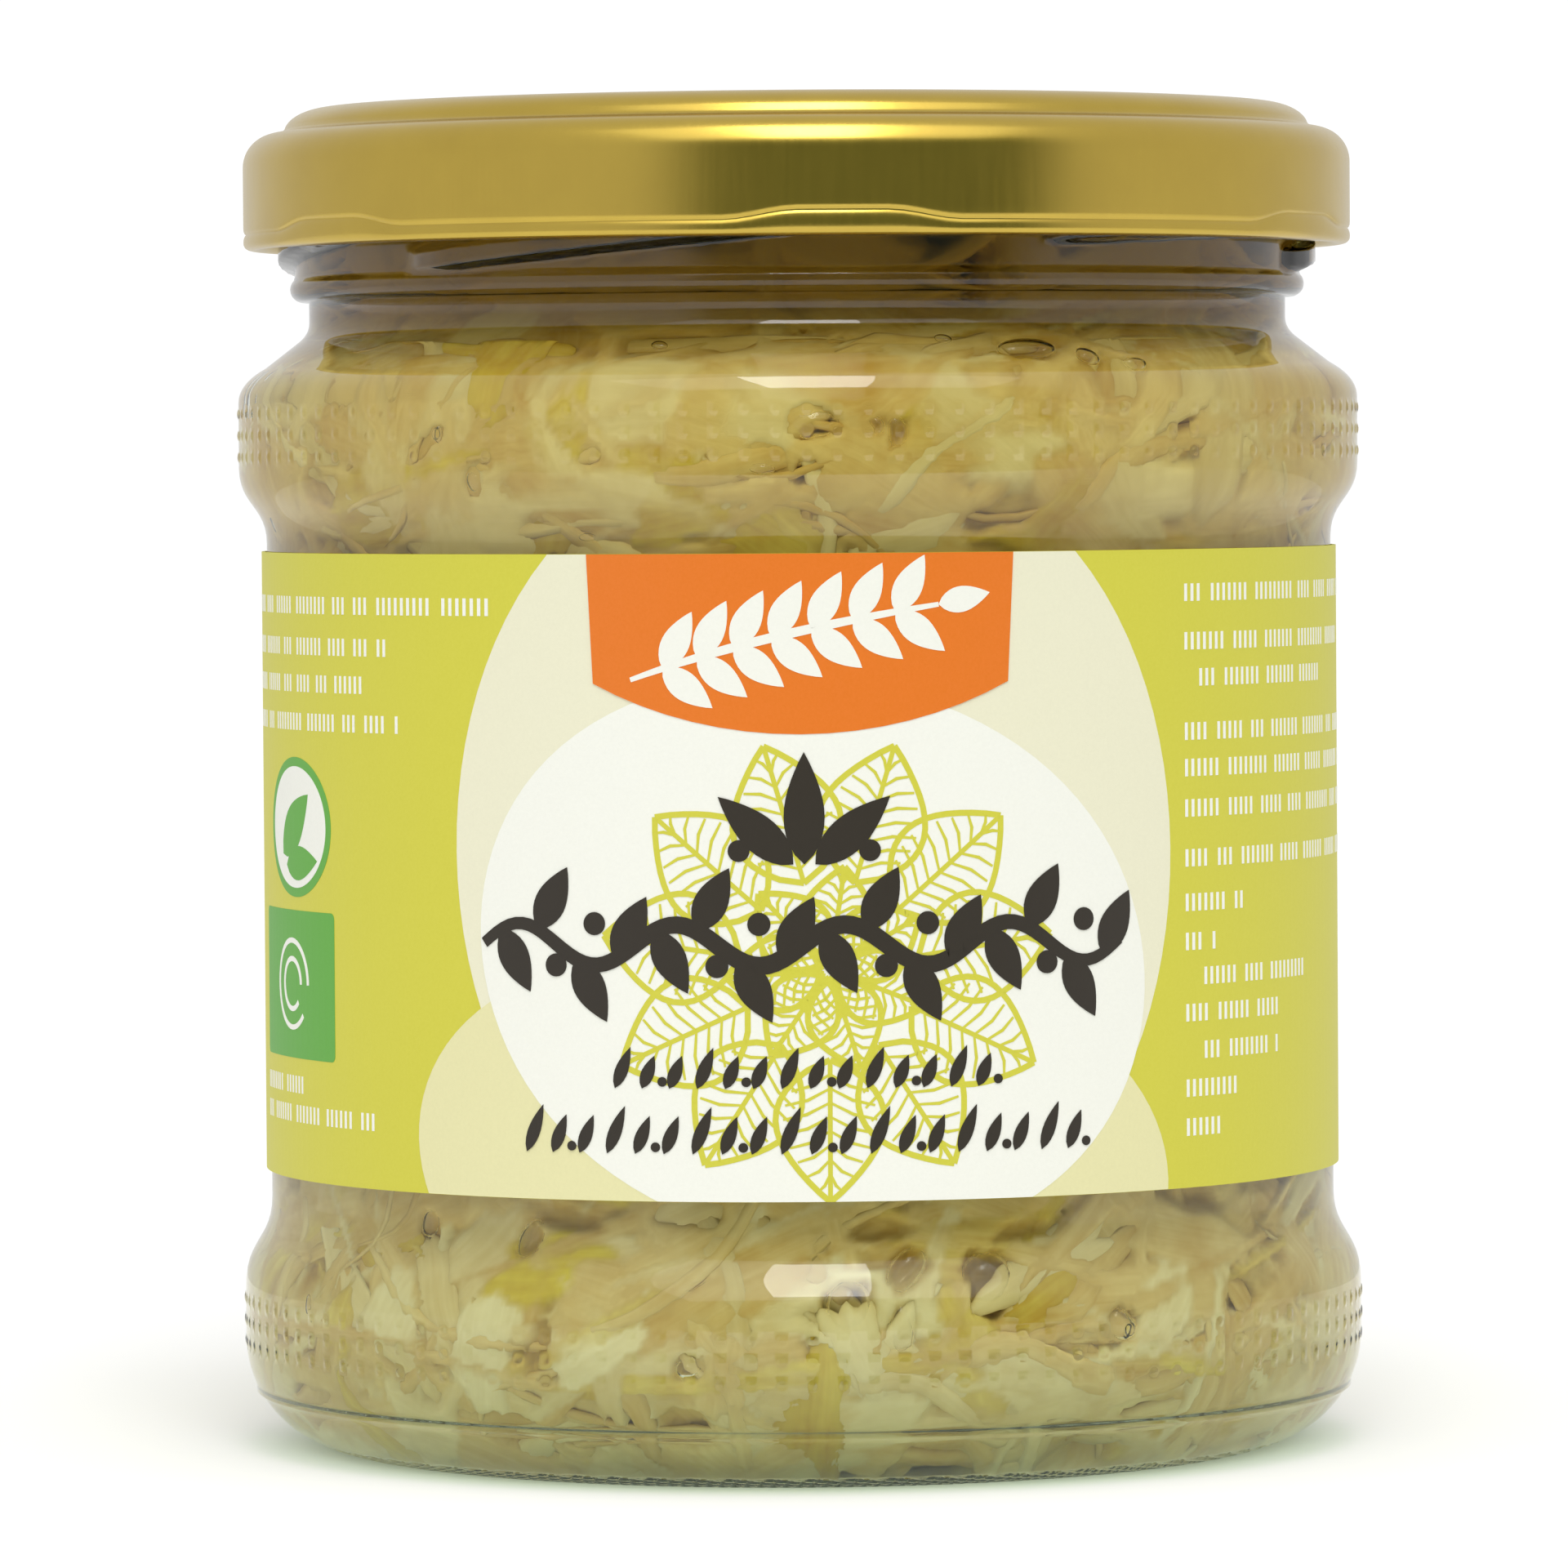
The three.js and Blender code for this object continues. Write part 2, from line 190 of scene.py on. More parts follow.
class KrautSettings(bpy.types.PropertyGroup):
    seed: IntProperty(name="Seed", description="Start of the random draws", default=20413)
    flakes: IntProperty(name="Flakes", description="Broad pieces in the bed", default=950)
    ribbons: IntProperty(name="Ribbons", description="Long pieces in the bed", default=900)
    strips: IntProperty(name="Strips", description="Broad soft strips", default=150)
    strands: IntProperty(name="Strands", description="Fine strands", default=110)
    ribs: IntProperty(name="Ribs", description="Whitish chunks of rib", default=36)
    leaves: IntProperty(name="Leaves", description="Yellow leafy scraps", default=20)
    straw_light: colour("Straw, light", "Palest straw kraut", "#dcc788")
    straw_dark: colour("Straw, dark", "Darkest straw kraut", "#bd9a50")
    rib_light: colour("Rib, light", "Palest rib", "#e3d6a6")
    rib_dark: colour("Rib, dark", "Darkest rib", "#cfbd84")
    leaf_light: colour("Leaf, light", "Brightest yellow leaf", "#d8c546")
    leaf_dark: colour("Leaf, dark", "Ochre leaf", "#b08a24")
    # Brown painted shade over the top of the kraut, where the lid shades the neck
    neck_shade_brown: colour("Brown", "Top of the kraut, browned under the lid", "#a37c36")
    aged: colour("Aged", "What the upper kraut's colour is multiplied by", "#fcf0d2")


class BrineSettings(bpy.types.PropertyGroup):
    absorb: colour("Brine", "Colour that thick brine takes on", "#e4cb3f")
    strength: FloatProperty(name="Strength", description="How soon it takes it on", default=170.0)


class LightSettings(bpy.types.PropertyGroup):
    around: FloatProperty(name="Walls", description="Brightness of the white walls", default=0.80)
    front: FloatProperty(name="Front", description="Brightness behind the camera", default=0.2)
    wide: FloatProperty(name="Wide lamp", description="Power of the wide lamp, watts", default=1.7)
    middle: FloatProperty(name="Middle lamp", description="Power of its middle, watts", default=3.1)


class JarSettings(bpy.types.PropertyGroup):
    glass: PointerProperty(type=GlassSettings)
    lid: PointerProperty(type=LidSettings)
    label: PointerProperty(type=LabelSettings)
    kraut: PointerProperty(type=KrautSettings)
    brine: PointerProperty(type=BrineSettings)
    lights: PointerProperty(type=LightSettings)


def settings():
    """The jar's settings in the open scene."""
    return bpy.context.scene.sauerkraut_jar


# Outlines: lists of (radius, height) points

def arc(centre, radius, start, end, steps):
    """Points of an arc, its angles in degrees from outwards round to upwards."""
    angles = np.radians(np.linspace(start, end, steps + 1))
    return [(centre[0] + radius * math.cos(a), centre[1] + radius * math.sin(a)) for a in angles]


def bezier(controls, steps):
    """Points of a Bezier curve with any number of control points."""
    order = len(controls) - 1
    points = []
    for t in np.linspace(0, 1, steps + 1):
        weights = [math.comb(order, i) * (1 - t) ** (order - i) * t**i for i in range(order + 1)]
        points.append(tuple(sum(w * c[axis] for w, c in zip(weights, controls)) for axis in (0, 1)))
    return points


def swell(start, end, steps):
    """A smooth S from one radius to another, upright at both ends."""
    middle = (start[1] + end[1]) / 2
    return bezier([start, (start[0], middle), (end[0], middle), end], steps)


def straight(start, end, steps):
    """A straight run between two points, cut into steps."""
    return bezier([start, end], steps)


def without_repeats(points):
    """The points without those that lie on the one before."""
    kept = [points[0]]
    for point in points[1:]:
        if math.dist(point, kept[-1]) > 1e-7:
            kept.append(point)
    return kept


def dot_rows(middle):
    """Heights of the four edges of three rows of dots."""
    return [middle + DOT_PITCH * k for k in (-1.5, -0.5, 0.5, 1.5)]


def seam(point):
    """The mould seam: a low rounded ridge round the heel."""
    rise = SEAM_RISE * math.exp(-(((point[1] - SEAM_HEIGHT) / SEAM_WIDTH) ** 2))
    return (point[0] + rise * 0.8, point[1] - rise * 0.6)


def glass_outside(body_radius):
    """The outside of the glass, from the middle of the underside out and up to the rim."""
    heel_centre = (FOOT_OUTER, HEEL_RADIUS)
    first_row = dot_rows(LOWER_DOTS)
    last_row = dot_rows(UPPER_DOTS)
    heel_end = math.degrees(math.asin((first_row[0] - HEEL_RADIUS) / HEEL_RADIUS))
    bead_centre = (BEAD_CREST - BEAD_SECTION, BEAD_HEIGHT)
    rim_centre = (NECK_RADIUS - RIM_ROUNDING, RIM_TOP - RIM_ROUNDING)
    shoulder_start = (body_radius, last_row[3])
    return without_repeats([
        *bezier([(0, PUSH_UP), (FOOT_INNER * 0.8, PUSH_UP), (FOOT_INNER, 0)], 14),
        *straight((FOOT_INNER, 0), (FOOT_OUTER, 0), 6),
        *[seam(p) for p in arc(heel_centre, HEEL_RADIUS, -90, heel_end, 44)],
        *[(body_radius, height) for height in first_row[1:]],
        *swell((body_radius, first_row[3]), (PANEL_RADIUS, PANEL_BOTTOM), 12),
        *straight((PANEL_RADIUS, PANEL_BOTTOM), (PANEL_RADIUS, PANEL_TOP), 6),
        *swell((PANEL_RADIUS, PANEL_TOP), (body_radius, last_row[0]), 12),
        *[(body_radius, height) for height in last_row[1:]],
        *bezier([shoulder_start, (body_radius, SHOULDER_CROWN), SHOULDER_TURN], 10),
        *straight(SHOULDER_TURN, SHOULDER_FOOT, 3),
        *bezier([SHOULDER_FOOT, (GROOVE_RADIUS, GROOVE_BEND), (GROOVE_RADIUS, GROOVE_BOTTOM)], 6),
        (GROOVE_RADIUS, BEAD_HEIGHT - BEAD_SECTION),
        *arc(bead_centre, BEAD_SECTION, -90, 45, 9),
        *straight((NECK_RADIUS, NECK_START), (NECK_RADIUS, RIM_TOP - RIM_ROUNDING), 30),
        *arc(rim_centre, RIM_ROUNDING, 0, 90, 5),
    ])


def wall_outline():
    """The inside of the glass, from the middle of the floor out and up to the rim."""
    fillet_centre = (HIP_RADIUS - FLOOR_FILLET, HIP_TOP)
    channel = (fillet_centre[0], HIP_TOP - FLOOR_FILLET)
    return without_repeats([
        *bezier([(0, FLOOR_MIDDLE), (FLOOR_BEND, FLOOR_MIDDLE), channel], FLOOR_STEPS),
        *arc(fillet_centre, FLOOR_FILLET, -90, 0, 10),
        *swell((HIP_RADIUS, HIP_TOP), (WALL_RADIUS, PANEL_BOTTOM), 6),
        *straight((WALL_RADIUS, PANEL_BOTTOM), (WALL_RADIUS, PANEL_TOP), 4),
        *swell((WALL_RADIUS, PANEL_TOP), (CHEST_RADIUS, CHEST_BOTTOM), 6),
        *bezier([
            (CHEST_RADIUS, CHEST_TOP), (CHEST_RADIUS, CHEST_BEND),
            (BORE_RADIUS, BORE_BEND), (BORE_RADIUS, BORE_BOTTOM),
        ], 12),
        *straight((BORE_RADIUS, BORE_BOTTOM), (BORE_RADIUS, RIM_TOP - RIM_ROUNDING / 2), 4),
    ])


WALL = np.array(wall_outline())
WALL_STEPS = np.hypot(*np.diff(WALL, axis=0).T)
WALL_ALONG = np.concatenate([[0], np.cumsum(WALL_STEPS)])
WALL_SLOPE = np.gradient(WALL, WALL_ALONG, axis=0)
WALL_SLOPE /= np.hypot(*WALL_SLOPE.T)[:, None]
CHANNEL = float(WALL_ALONG[FLOOR_STEPS])


def along_at(height):
    """Distance along the wall's outline to a height above the channel round the floor."""
    return float(np.interp(height, WALL[FLOOR_STEPS:, 1], WALL_ALONG[FLOOR_STEPS:]))


def radius_at(along):
    """The wall's radius at distances along its outline."""
    return np.interp(along, WALL_ALONG, WALL[:, 0])


def on_wall(angle, along, depth):
    """Points at an angle, a distance along the inner wall and a depth in from it."""
    height = np.interp(along, WALL_ALONG, WALL[:, 1])
    slope_out, slope_up = (np.interp(along, WALL_ALONG, slope) for slope in WALL_SLOPE.T)
    inner = radius_at(along) - depth * slope_up
    return np.stack([inner * np.sin(angle), -inner * np.cos(angle), height + depth * slope_out], -1)


# Meshes

def wrapped_grid(columns, rows):
    """A flat grid as a bmesh, with the column and the row of each of its vertices."""
    bm = bmesh.new()
    bmesh.ops.create_grid(bm, x_segments=columns, y_segments=rows, size=0.5)
    flat = np.array([v.co[:2] for v in bm.verts]) + 0.5
    return bm, *np.rint(flat * (columns, rows)).astype(int).T


def closed_round(bm):
    """Joins a grid's edges where they have been wrapped on to each other."""
    bmesh.ops.remove_doubles(bm, verts=[v for v in bm.verts if v.is_boundary], dist=1e-7)
    bmesh.ops.recalc_face_normals(bm, faces=bm.faces)
    return bm


def turned(outline, marks=None):
    """An outline turned a full circle about the jar's axis, as a bmesh with its faces outwards.

    Marks are whole numbers, one for each outline point, which its copies keep as "mark".
    """
    bm, column, row = wrapped_grid(TURN_STEPS, len(outline) - 1)
    for v, k, i in zip(bm.verts, column.tolist(), row.tolist()):
        v.co = placed(outline[i][0], FULL_TURN * (k % TURN_STEPS) / TURN_STEPS, outline[i][1])
    if marks:
        mark = bm.verts.layers.int.new("mark")
        for v, i in zip(bm.verts, row.tolist()):
            v[mark] = marks[i]
    return closed_round(bm)


def placed(radius, angle, height):
    """The point at a distance from the axis, an angle and a height."""
    return (radius * math.sin(angle), -radius * math.cos(angle), height)


def angle_of(place):
    """The angle of a point round the axis."""
    return math.atan2(place.x, -place.y)


def finished(bm, name, slot, *materials, smooth=True, replaced=None):
    """The bmesh as an object that rides with the jar, as ridden makes it."""
    mesh = bpy.data.meshes.new(name)
    bm.to_mesh(mesh)
    bm.free()
    return ridden(mesh, name, slot, *materials, smooth=smooth, replaced=replaced)


def linked(name, data):
    """A new object in the scene."""
    made = bpy.data.objects.new(name, data)
    bpy.context.scene.collection.objects.link(made)
    return made


def ridden(mesh, name, slot, *materials, smooth=True, replaced=None):
    """The mesh as an object that rides with the jar, and stands for a CAD node if one is named."""
    piece = linked(name, mesh)
    for material in materials:
        mesh.materials.append(material)
    mesh.polygons.foreach_set("use_smooth", [smooth] * len(mesh.polygons))
    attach(piece, "root")
    if replaced:
        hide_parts(replaced)
    return piece


# Materials

def add(tree, kind, inputs=None, links=None, **options):
    """Adds a node, sets its options and input values, and links its inputs to other sockets."""
    node = tree.nodes.new(kind)
    for option, value in options.items():
        setattr(node, option, value)
    for key, value in (inputs or {}).items():
        node.inputs[key].default_value = value
    for key, socket in (links or {}).items():
        tree.links.new(socket, node.inputs[key])
    return node


def new_material(name):
    material = bpy.data.materials.new(name)
    material.use_nodes = True
    material.node_tree.nodes.clear()
    return material, material.node_tree


def clear_material(name, ior, tint=WHITE, absorbs=WHITE, strength=0.0):
    """A clear material, which takes on a colour where it is thick, with its tree and its surface.

    It lets lamp light straight through, so that what it holds is lit without noise.
    """
    material, tree = new_material(name)
    surface = add(tree, "ShaderNodeBsdfPrincipled", {
        "Base Color": WHITE, "Roughness": 0.0, "IOR": ior, "Transmission Weight": 1.0,
    })
    path = add(tree, "ShaderNodeLightPath")
    either = add(tree, "ShaderNodeMath", operation="MAXIMUM", links={
        0: path.outputs["Is Shadow Ray"], 1: path.outputs["Is Diffuse Ray"],
    })
    through = add(tree, "ShaderNodeBsdfTransparent", {"Color": tint})
    mixed = add(tree, "ShaderNodeMixShader", links={
        0: either.outputs[0], 1: surface.outputs[0], 2: through.outputs[0],
    })
    ends = {"Surface": mixed.outputs[0]}
    if strength:
        volume = add(tree, "ShaderNodeVolumeAbsorption", {"Color": absorbs, "Density": strength})
        ends["Volume"] = volume.outputs[0]
    add(tree, "ShaderNodeOutputMaterial", links=ends)
    return material, tree, surface


def soda_lime_glass(s):
    """Pressed soda-lime glass: colourless where thin, faintly green where the light runs along it."""
    material, tree, surface = clear_material(
        "soda_lime_glass", GLASS_IOR, linear("#f4f8f3"), s.absorb, 34.0
    )
    coords = add(tree, "ShaderNodeTexCoord")
    # Pressed glass ripples slowly, over about 12 mm, with finer waves that fray a highlight's rim
    ripple = add(tree, "ShaderNodeTexNoise", {"Scale": 85.0, "Detail": 3.0},
                 {"Vector": coords.outputs["Object"]})
    bump = add(tree, "ShaderNodeBump", {"Strength": 0.35, "Distance": 0.12 * MM},
               {"Height": ripple.outputs["Fac"]})
    tree.links.new(bump.outputs[0], surface.inputs["Normal"])
    return material


def wet_glass_wall():
    """The wall where brine wets it, which bends light far less than glass against air does."""
    return clear_material("soda_lime_glass_wet", GLASS_IOR / BRINE_IOR)[0]


def brine_liquid(s):
    """Pale yellow brine. Its face lies inside the glass, whose wet wall does the bending."""
    return clear_material("brine", 1.0, absorbs=s.absorb, strength=s.strength)[0]


def air_in_brine():
    """A bubble: air inside brine, so its rim mirrors and its middle is clear."""
    return clear_material("air_bubble", 1 / BRINE_IOR)[0]


def lacquered_tinplate(s):
    """Tinplate under gold lacquer: satin metal with faint rolling lines and small rubs."""
    material, tree = new_material("gold_lacquered_tinplate")
    coords = add(tree, "ShaderNodeTexCoord")
    cloudy = add(tree, "ShaderNodeTexNoise", {"Scale": 160.0, "Detail": 4.0, "Roughness": 0.6},
                 {"Vector": coords.outputs["Object"]})
    # Rolling lines, drawn 0.3 mm apart because the real ones are too fine to show
    stretched = add(tree, "ShaderNodeMapping", {
        "Rotation": (0.0, 0.35, 0.2), "Scale": (3400.0, 3400.0, 160.0),
    }, {"Vector": coords.outputs["Object"]})
    lines = add(tree, "ShaderNodeTexNoise", {"Scale": 1.0, "Detail": 3.0},
                {"Vector": stretched.outputs[0]})
    tone = add(tree, "ShaderNodeMix", data_type="RGBA", inputs={6: s.gold, 7: s.scuffed},
               links={0: cloudy.outputs["Fac"]})
    rough = add(tree, "ShaderNodeMapRange", {
        "From Min": 0.3, "From Max": 0.7, "To Min": 0.23, "To Max": 0.27,
    }, {"Value": lines.outputs["Fac"]})
    bump = add(tree, "ShaderNodeBump", {"Strength": 0.02, "Distance": 0.02 * MM},
               {"Height": lines.outputs["Fac"]})
    metal = add(tree, "ShaderNodeBsdfPrincipled", {
        "Metallic": 1.0, "Coat Weight": 0.14, "Coat Roughness": 0.08,
    }, {
        "Base Color": tone.outputs[2], "Roughness": rough.outputs[0], "Normal": bump.outputs[0],
    })
    add(tree, "ShaderNodeOutputMaterial", links={"Surface": metal.outputs[0]})
    return material


def printed_paper(name, shade, rough=0.48):
    """Machine-coated label paper, offset printed: half matt, with fine grain in sheet and ink."""
    material, tree = new_material(name)
    coords = add(tree, "ShaderNodeTexCoord")
    # Ink grain of about 0.25 mm, which is as fine as the picture can show
    grain = add(tree, "ShaderNodeTexNoise", {"Scale": 4000.0, "Detail": 2.0, "Roughness": 0.7},
                {"Vector": coords.outputs["Object"]})
    darker = add(tree, "ShaderNodeHueSaturation", {"Value": 0.93, "Saturation": 1.03, "Color": shade})
    tone = add(tree, "ShaderNodeMix", data_type="RGBA", inputs={6: shade},
               links={0: grain.outputs["Fac"], 7: darker.outputs[0]})
    bump = add(tree, "ShaderNodeBump", {"Strength": 0.08, "Distance": 0.03 * MM},
               {"Height": grain.outputs["Fac"]})
    ink = add(tree, "ShaderNodeBsdfPrincipled", {"Roughness": rough, "IOR": 1.45}, {
        "Base Color": tone.outputs[2], "Normal": bump.outputs[0],
    })
    add(tree, "ShaderNodeOutputMaterial", links={"Surface": ink.outputs[0]})
    return material


def blend(tree, share, first, second):
    """Two colours mixed by a share; each is a colour or a socket."""
    sockets = {k: v for k, v in {0: share, 6: first, 7: second}.items()
               if isinstance(v, bpy.types.NodeSocket)}
    values = {k: v for k, v in {6: first, 7: second}.items() if k not in sockets}
    return add(tree, "ShaderNodeMix", data_type="RGBA", inputs=values, links=sockets).outputs[2]


def fermented_cabbage(s):
    """Fermented cabbage in brine: soft, half see-through, its gloss lost in the liquid round it.

    The attribute fibre holds the place along and across a shred, and look its tint, and how
    far it is yellow leaf or whitish rib.
    """
    material, tree = new_material("fermented_cabbage")
    coords = add(tree, "ShaderNodeTexCoord")
    fibre = add(tree, "ShaderNodeAttribute", attribute_name="fibre").outputs["Vector"]
    look = add(tree, "ShaderNodeAttribute", attribute_name="look").outputs["Vector"]
    parts = add(tree, "ShaderNodeSeparateXYZ", links={0: look}).outputs
    # Veins run along each shred: about 0.6 mm apart and 8 mm long
    stretched = add(tree, "ShaderNodeMapping", {"Scale": (130.0, 1500.0, 1.0)}, {"Vector": fibre})
    veins = add(tree, "ShaderNodeTexNoise", {"Scale": 1.0, "Detail": 2.5, "Roughness": 0.55},
                {"Vector": stretched.outputs[0]}).outputs["Fac"]
    # Soft cloudy patches, 4 mm across, as leaf and juice gather
    clouds = add(tree, "ShaderNodeTexNoise", {"Scale": 240.0, "Detail": 3.0, "Roughness": 0.6},
                 {"Vector": coords.outputs["Object"]}).outputs["Fac"]
    clouded = add(tree, "ShaderNodeMath", operation="MULTIPLY_ADD", inputs={1: 3.2},
                  links={0: clouds, 2: parts["X"]}).outputs[0]
    veined = add(tree, "ShaderNodeMath", operation="MULTIPLY_ADD", inputs={1: 2.0},
                 links={0: veins, 2: clouded}).outputs[0]
    tint = add(tree, "ShaderNodeMapRange", {"From Min": 1.9, "From Max": 4.3},
               {"Value": veined}).outputs[0]
    straw = blend(tree, tint, s.straw_dark, s.straw_light)
    rib = blend(tree, tint, s.rib_dark, s.rib_light)
    leaf = blend(tree, tint, s.leaf_dark, s.leaf_light)
    flesh_tone = blend(tree, parts["Y"], blend(tree, parts["Z"], straw, rib), leaf)
    place = add(tree, "ShaderNodeSeparateXYZ", links={0: coords.outputs["Object"]})
    # It yellows towards the top. Under the lid it is blended towards brown: painted shade for the lid's
    # shadow over the neck
    yellowed = add(tree, "ShaderNodeMapRange", {"From Min": 22 * MM, "From Max": 68 * MM},
                   {"Value": place.outputs["Z"]}).outputs[0]
    flesh_tone = add(tree, "ShaderNodeMix", data_type="RGBA", blend_type="MULTIPLY",
                     inputs={7: s.aged}, links={0: yellowed, 6: flesh_tone}).outputs[2]
    # Painted shade: from 83.5 mm up, the kraut's colour is mixed towards brown by height
    darkened = add(tree, "ShaderNodeMapRange", {
        "From Min": 83.5 * MM, "From Max": 89.5 * MM, "To Max": 0.85,
    }, {"Value": place.outputs["Z"]}, interpolation_type="SMOOTHSTEP").outputs[0]
    tone = blend(tree, darkened, flesh_tone, s.neck_shade_brown)
    bump = add(tree, "ShaderNodeBump", {"Strength": 0.3, "Distance": 0.1 * MM}, {"Height": veins})
    flesh = add(tree, "ShaderNodeBsdfPrincipled", {
        "Roughness": 0.5, "IOR": 1.05, "Subsurface Weight": 0.25,
        "Subsurface Radius": (1.0, 0.85, 0.6), "Subsurface Scale": 1.2 * MM,
    }, {"Base Color": tone, "Normal": bump.outputs[0]}, subsurface_method="BURLEY")
    add(tree, "ShaderNodeOutputMaterial", links={"Surface": flesh.outputs[0]})
    return material


# Glass

def thread_rise(angle, height):
    """How far the thread ridges stand out of the neck at an angle in degrees and a height."""
    rise = 0.0
    for index in range(LUGS):
        run, drop = (SHORT_RUN, SHORT_DROP) if index == SHORT_INDEX else (LONG_RUN, LONG_DROP)
        lug = LUG_ANGLE + index * 360 / LUGS
        past = (angle - lug + 180) % 360 - 180
        if -run <= past <= THREAD_LEAD:
            level = THREAD_LEVEL + drop * min(past, 0) / run
            to_end = min(past + run, THREAD_LEAD - past) / THREAD_TAPER
            full = 0.25 + 0.75 * min(to_end, 1)
            off = abs(height - level) / THREAD_HALF_HEIGHT
            if off < 1.25:
                section = min(1.0, (1.25 - off) / 0.5)
                rise = max(rise, THREAD_DEPTH * full * section * section * (3 - 2 * section))
    return rise


def cut_threads(bm):
    """Raises the thread ridges on the neck."""
    for v in bm.verts:
        radius = v.co.xy.length
        if abs(radius - NECK_RADIUS) < 1e-5 and v.co.z > NECK_START - 1e-5:
            rise = thread_rise(math.degrees(angle_of(v.co)), v.co.z)
            v.co.xy *= (radius + rise) / radius


def raise_dots(bm, middle, s):
    """Three rows of round grip dots, raised inside every second cell of the band."""
    step = FULL_TURN / TURN_STEPS
    every = TURN_STEPS // s.dots
    rows = dot_rows(middle)
    centres = [(low + high) / 2 for low, high in zip(rows, rows[1:])]
    cells = []
    for face in bm.faces:
        centre = face.calc_center_median()
        if rows[0] < centre.z < rows[3] and centre.xy.length > PANEL_RADIUS + MM:
            index = int(angle_of(centre) % FULL_TURN / step)
            if index % every == 0:
                cells.append(face)
    bmesh.ops.inset_individual(bm, faces=cells, thickness=DOT_MARGIN, use_even_offset=True)
    edges = {e for face in cells for e in face.edges}
    bmesh.ops.subdivide_edges(bm, edges=list(edges), cuts=4, use_grid_fill=True)
    half_wide = s.body_radius * step / 2 - DOT_MARGIN
    half_high = DOT_PITCH / 2 - DOT_MARGIN
    spread = every * step
    for v in bm.verts:
        radius = v.co.xy.length
        if not (rows[0] < v.co.z < rows[3] and radius > PANEL_RADIUS + MM):
            continue
        angle = angle_of(v.co) % FULL_TURN
        centre_angle = math.floor(angle / spread) * spread + step / 2
        centre_height = min(centres, key=lambda c: abs(c - v.co.z))
        across = (angle - centre_angle) * s.body_radius / half_wide
        up = (v.co.z - centre_height) / half_high
        if max(abs(across), abs(up)) > 1.02:
            continue
        # The square cell, from -1 to 1 both ways, drawn in to a round
        round_across = across * math.sqrt(max(0, 1 - up * up / 2))
        round_up = up * math.sqrt(max(0, 1 - across * across / 2))
        dome = max(0.0, 1 - round_across**2 - round_up**2)
        place = centre_angle + round_across * s.dot_radius / s.body_radius
        v.co = placed(radius + s.dot_rise * dome, place, centre_height + round_up * s.dot_radius)


def notch_foot(bm, s):
    """Knurl: small V notches across the ring that the jar stands on."""
    low = [
        e for e in bm.edges
        if all(v.co.z < KNURL_TOP and FOOT_INNER * 0.99 < v.co.xy.length for v in e.verts)
        and abs(e.verts[0].co.xy.length - e.verts[1].co.xy.length) < 1e-6
    ]
    bmesh.ops.subdivide_edges(bm, edges=low, cuts=3)
    middle = (FOOT_INNER + FOOT_OUTER) / 2
    for v in bm.verts:
        radius = v.co.xy.length
        if v.co.z < KNURL_TOP and FOOT_INNER * 1.01 < radius:
            lean = abs(radius - middle) * KNURL_LEAN / FOOT_OUTER
            phase = (angle_of(v.co) + lean) * s.notches % FULL_TURN / FULL_TURN
            v.co.z += s.notch_depth * max(0.0, 1 - abs(phase - 0.5) / KNURL_HALF)


class JAR_OT_glass(bpy.types.Operator):
    """Build the pressed glass jar with its threads, grip dots and knurled foot"""

    bl_idname = "jar.glass"
    bl_label = "Glass"

    def execute(self, context):
        s = settings().glass
        outside, inside = glass_outside(s.body_radius), wall_outline()[::-1]
        marks = [0] * len(outside) + [int(height < BRINE_TOP) for _, height in inside]
        bm = turned([*outside, *inside], marks=marks)
        cut_threads(bm)
        raise_dots(bm, LOWER_DOTS, s)
        raise_dots(bm, UPPER_DOTS, s)
        notch_foot(bm, s)
        bmesh.ops.recalc_face_normals(bm, faces=bm.faces)
        wet = bm.verts.layers.int["mark"]
        for face in bm.faces:
            face.material_index = int(all(v[wet] for v in face.verts))
        bm.verts.layers.int.remove(wet)
        finished(bm, "jar_glass_body", "glass", soda_lime_glass(s), wet_glass_wall(),
                 replaced="jar_glass")
        return {"FINISHED"}


# Lid

def lid_outside(radius):
    """The outside of the lid, from the crease in its skirt up and in to its middle."""
    shoulder = arc((radius - LID_ROUNDING, SKIRT_TOP), LID_ROUNDING, 0, 80, 16)
    return [
        *straight((radius, CREASE_END), (radius, SKIRT_TOP), 10),
        *shoulder,
        *bezier([shoulder[-1], (RING_FOOT_BEND, shoulder[-1][1]), RING_FOOT], 3),
        *bezier([RING_FOOT, RING_FLANK, (RING_CREST, RING_TOP), (RING_RADIUS, RING_TOP)], 10),
        *bezier([(RING_RADIUS, RING_TOP), (RING_FALL, RING_TOP), (RING_INNER, LID_PANEL)], 8),
        *straight((RING_INNER, LID_PANEL), (BUTTON_RADIUS, LID_PANEL), 5),
        *swell((BUTTON_RADIUS, LID_PANEL), (BUTTON_CROWN, LID_PANEL + BUTTON_RISE), 5),
        (0, LID_PANEL + BUTTON_RISE),
    ]


def lid_curl(radius):
    """The rolled edge, from its inner top down and round, and up to the crease in the skirt."""
    middle = (LID_BOTTOM + CREASE_HEIGHT) / 2
    corner, crease = (CURL_CORNER, LID_BOTTOM), (radius - CREASE_DEPTH, CREASE_HEIGHT)
    return [
        (CURL_LIP, CREASE_HEIGHT),
        *bezier([(CURL_INNER, CREASE_HEIGHT - 0.3 * MM), (CURL_INNER, LID_BOTTOM), corner], 5),
        *bezier([corner, (radius, LID_BOTTOM), (radius, middle)], 6),
        *bezier([(radius, middle), (radius, CREASE_HEIGHT - 0.15 * MM), crease], 4),
        *bezier([crease, (radius, CREASE_HEIGHT + 0.1 * MM), (radius, CREASE_END)], 3),
    ]


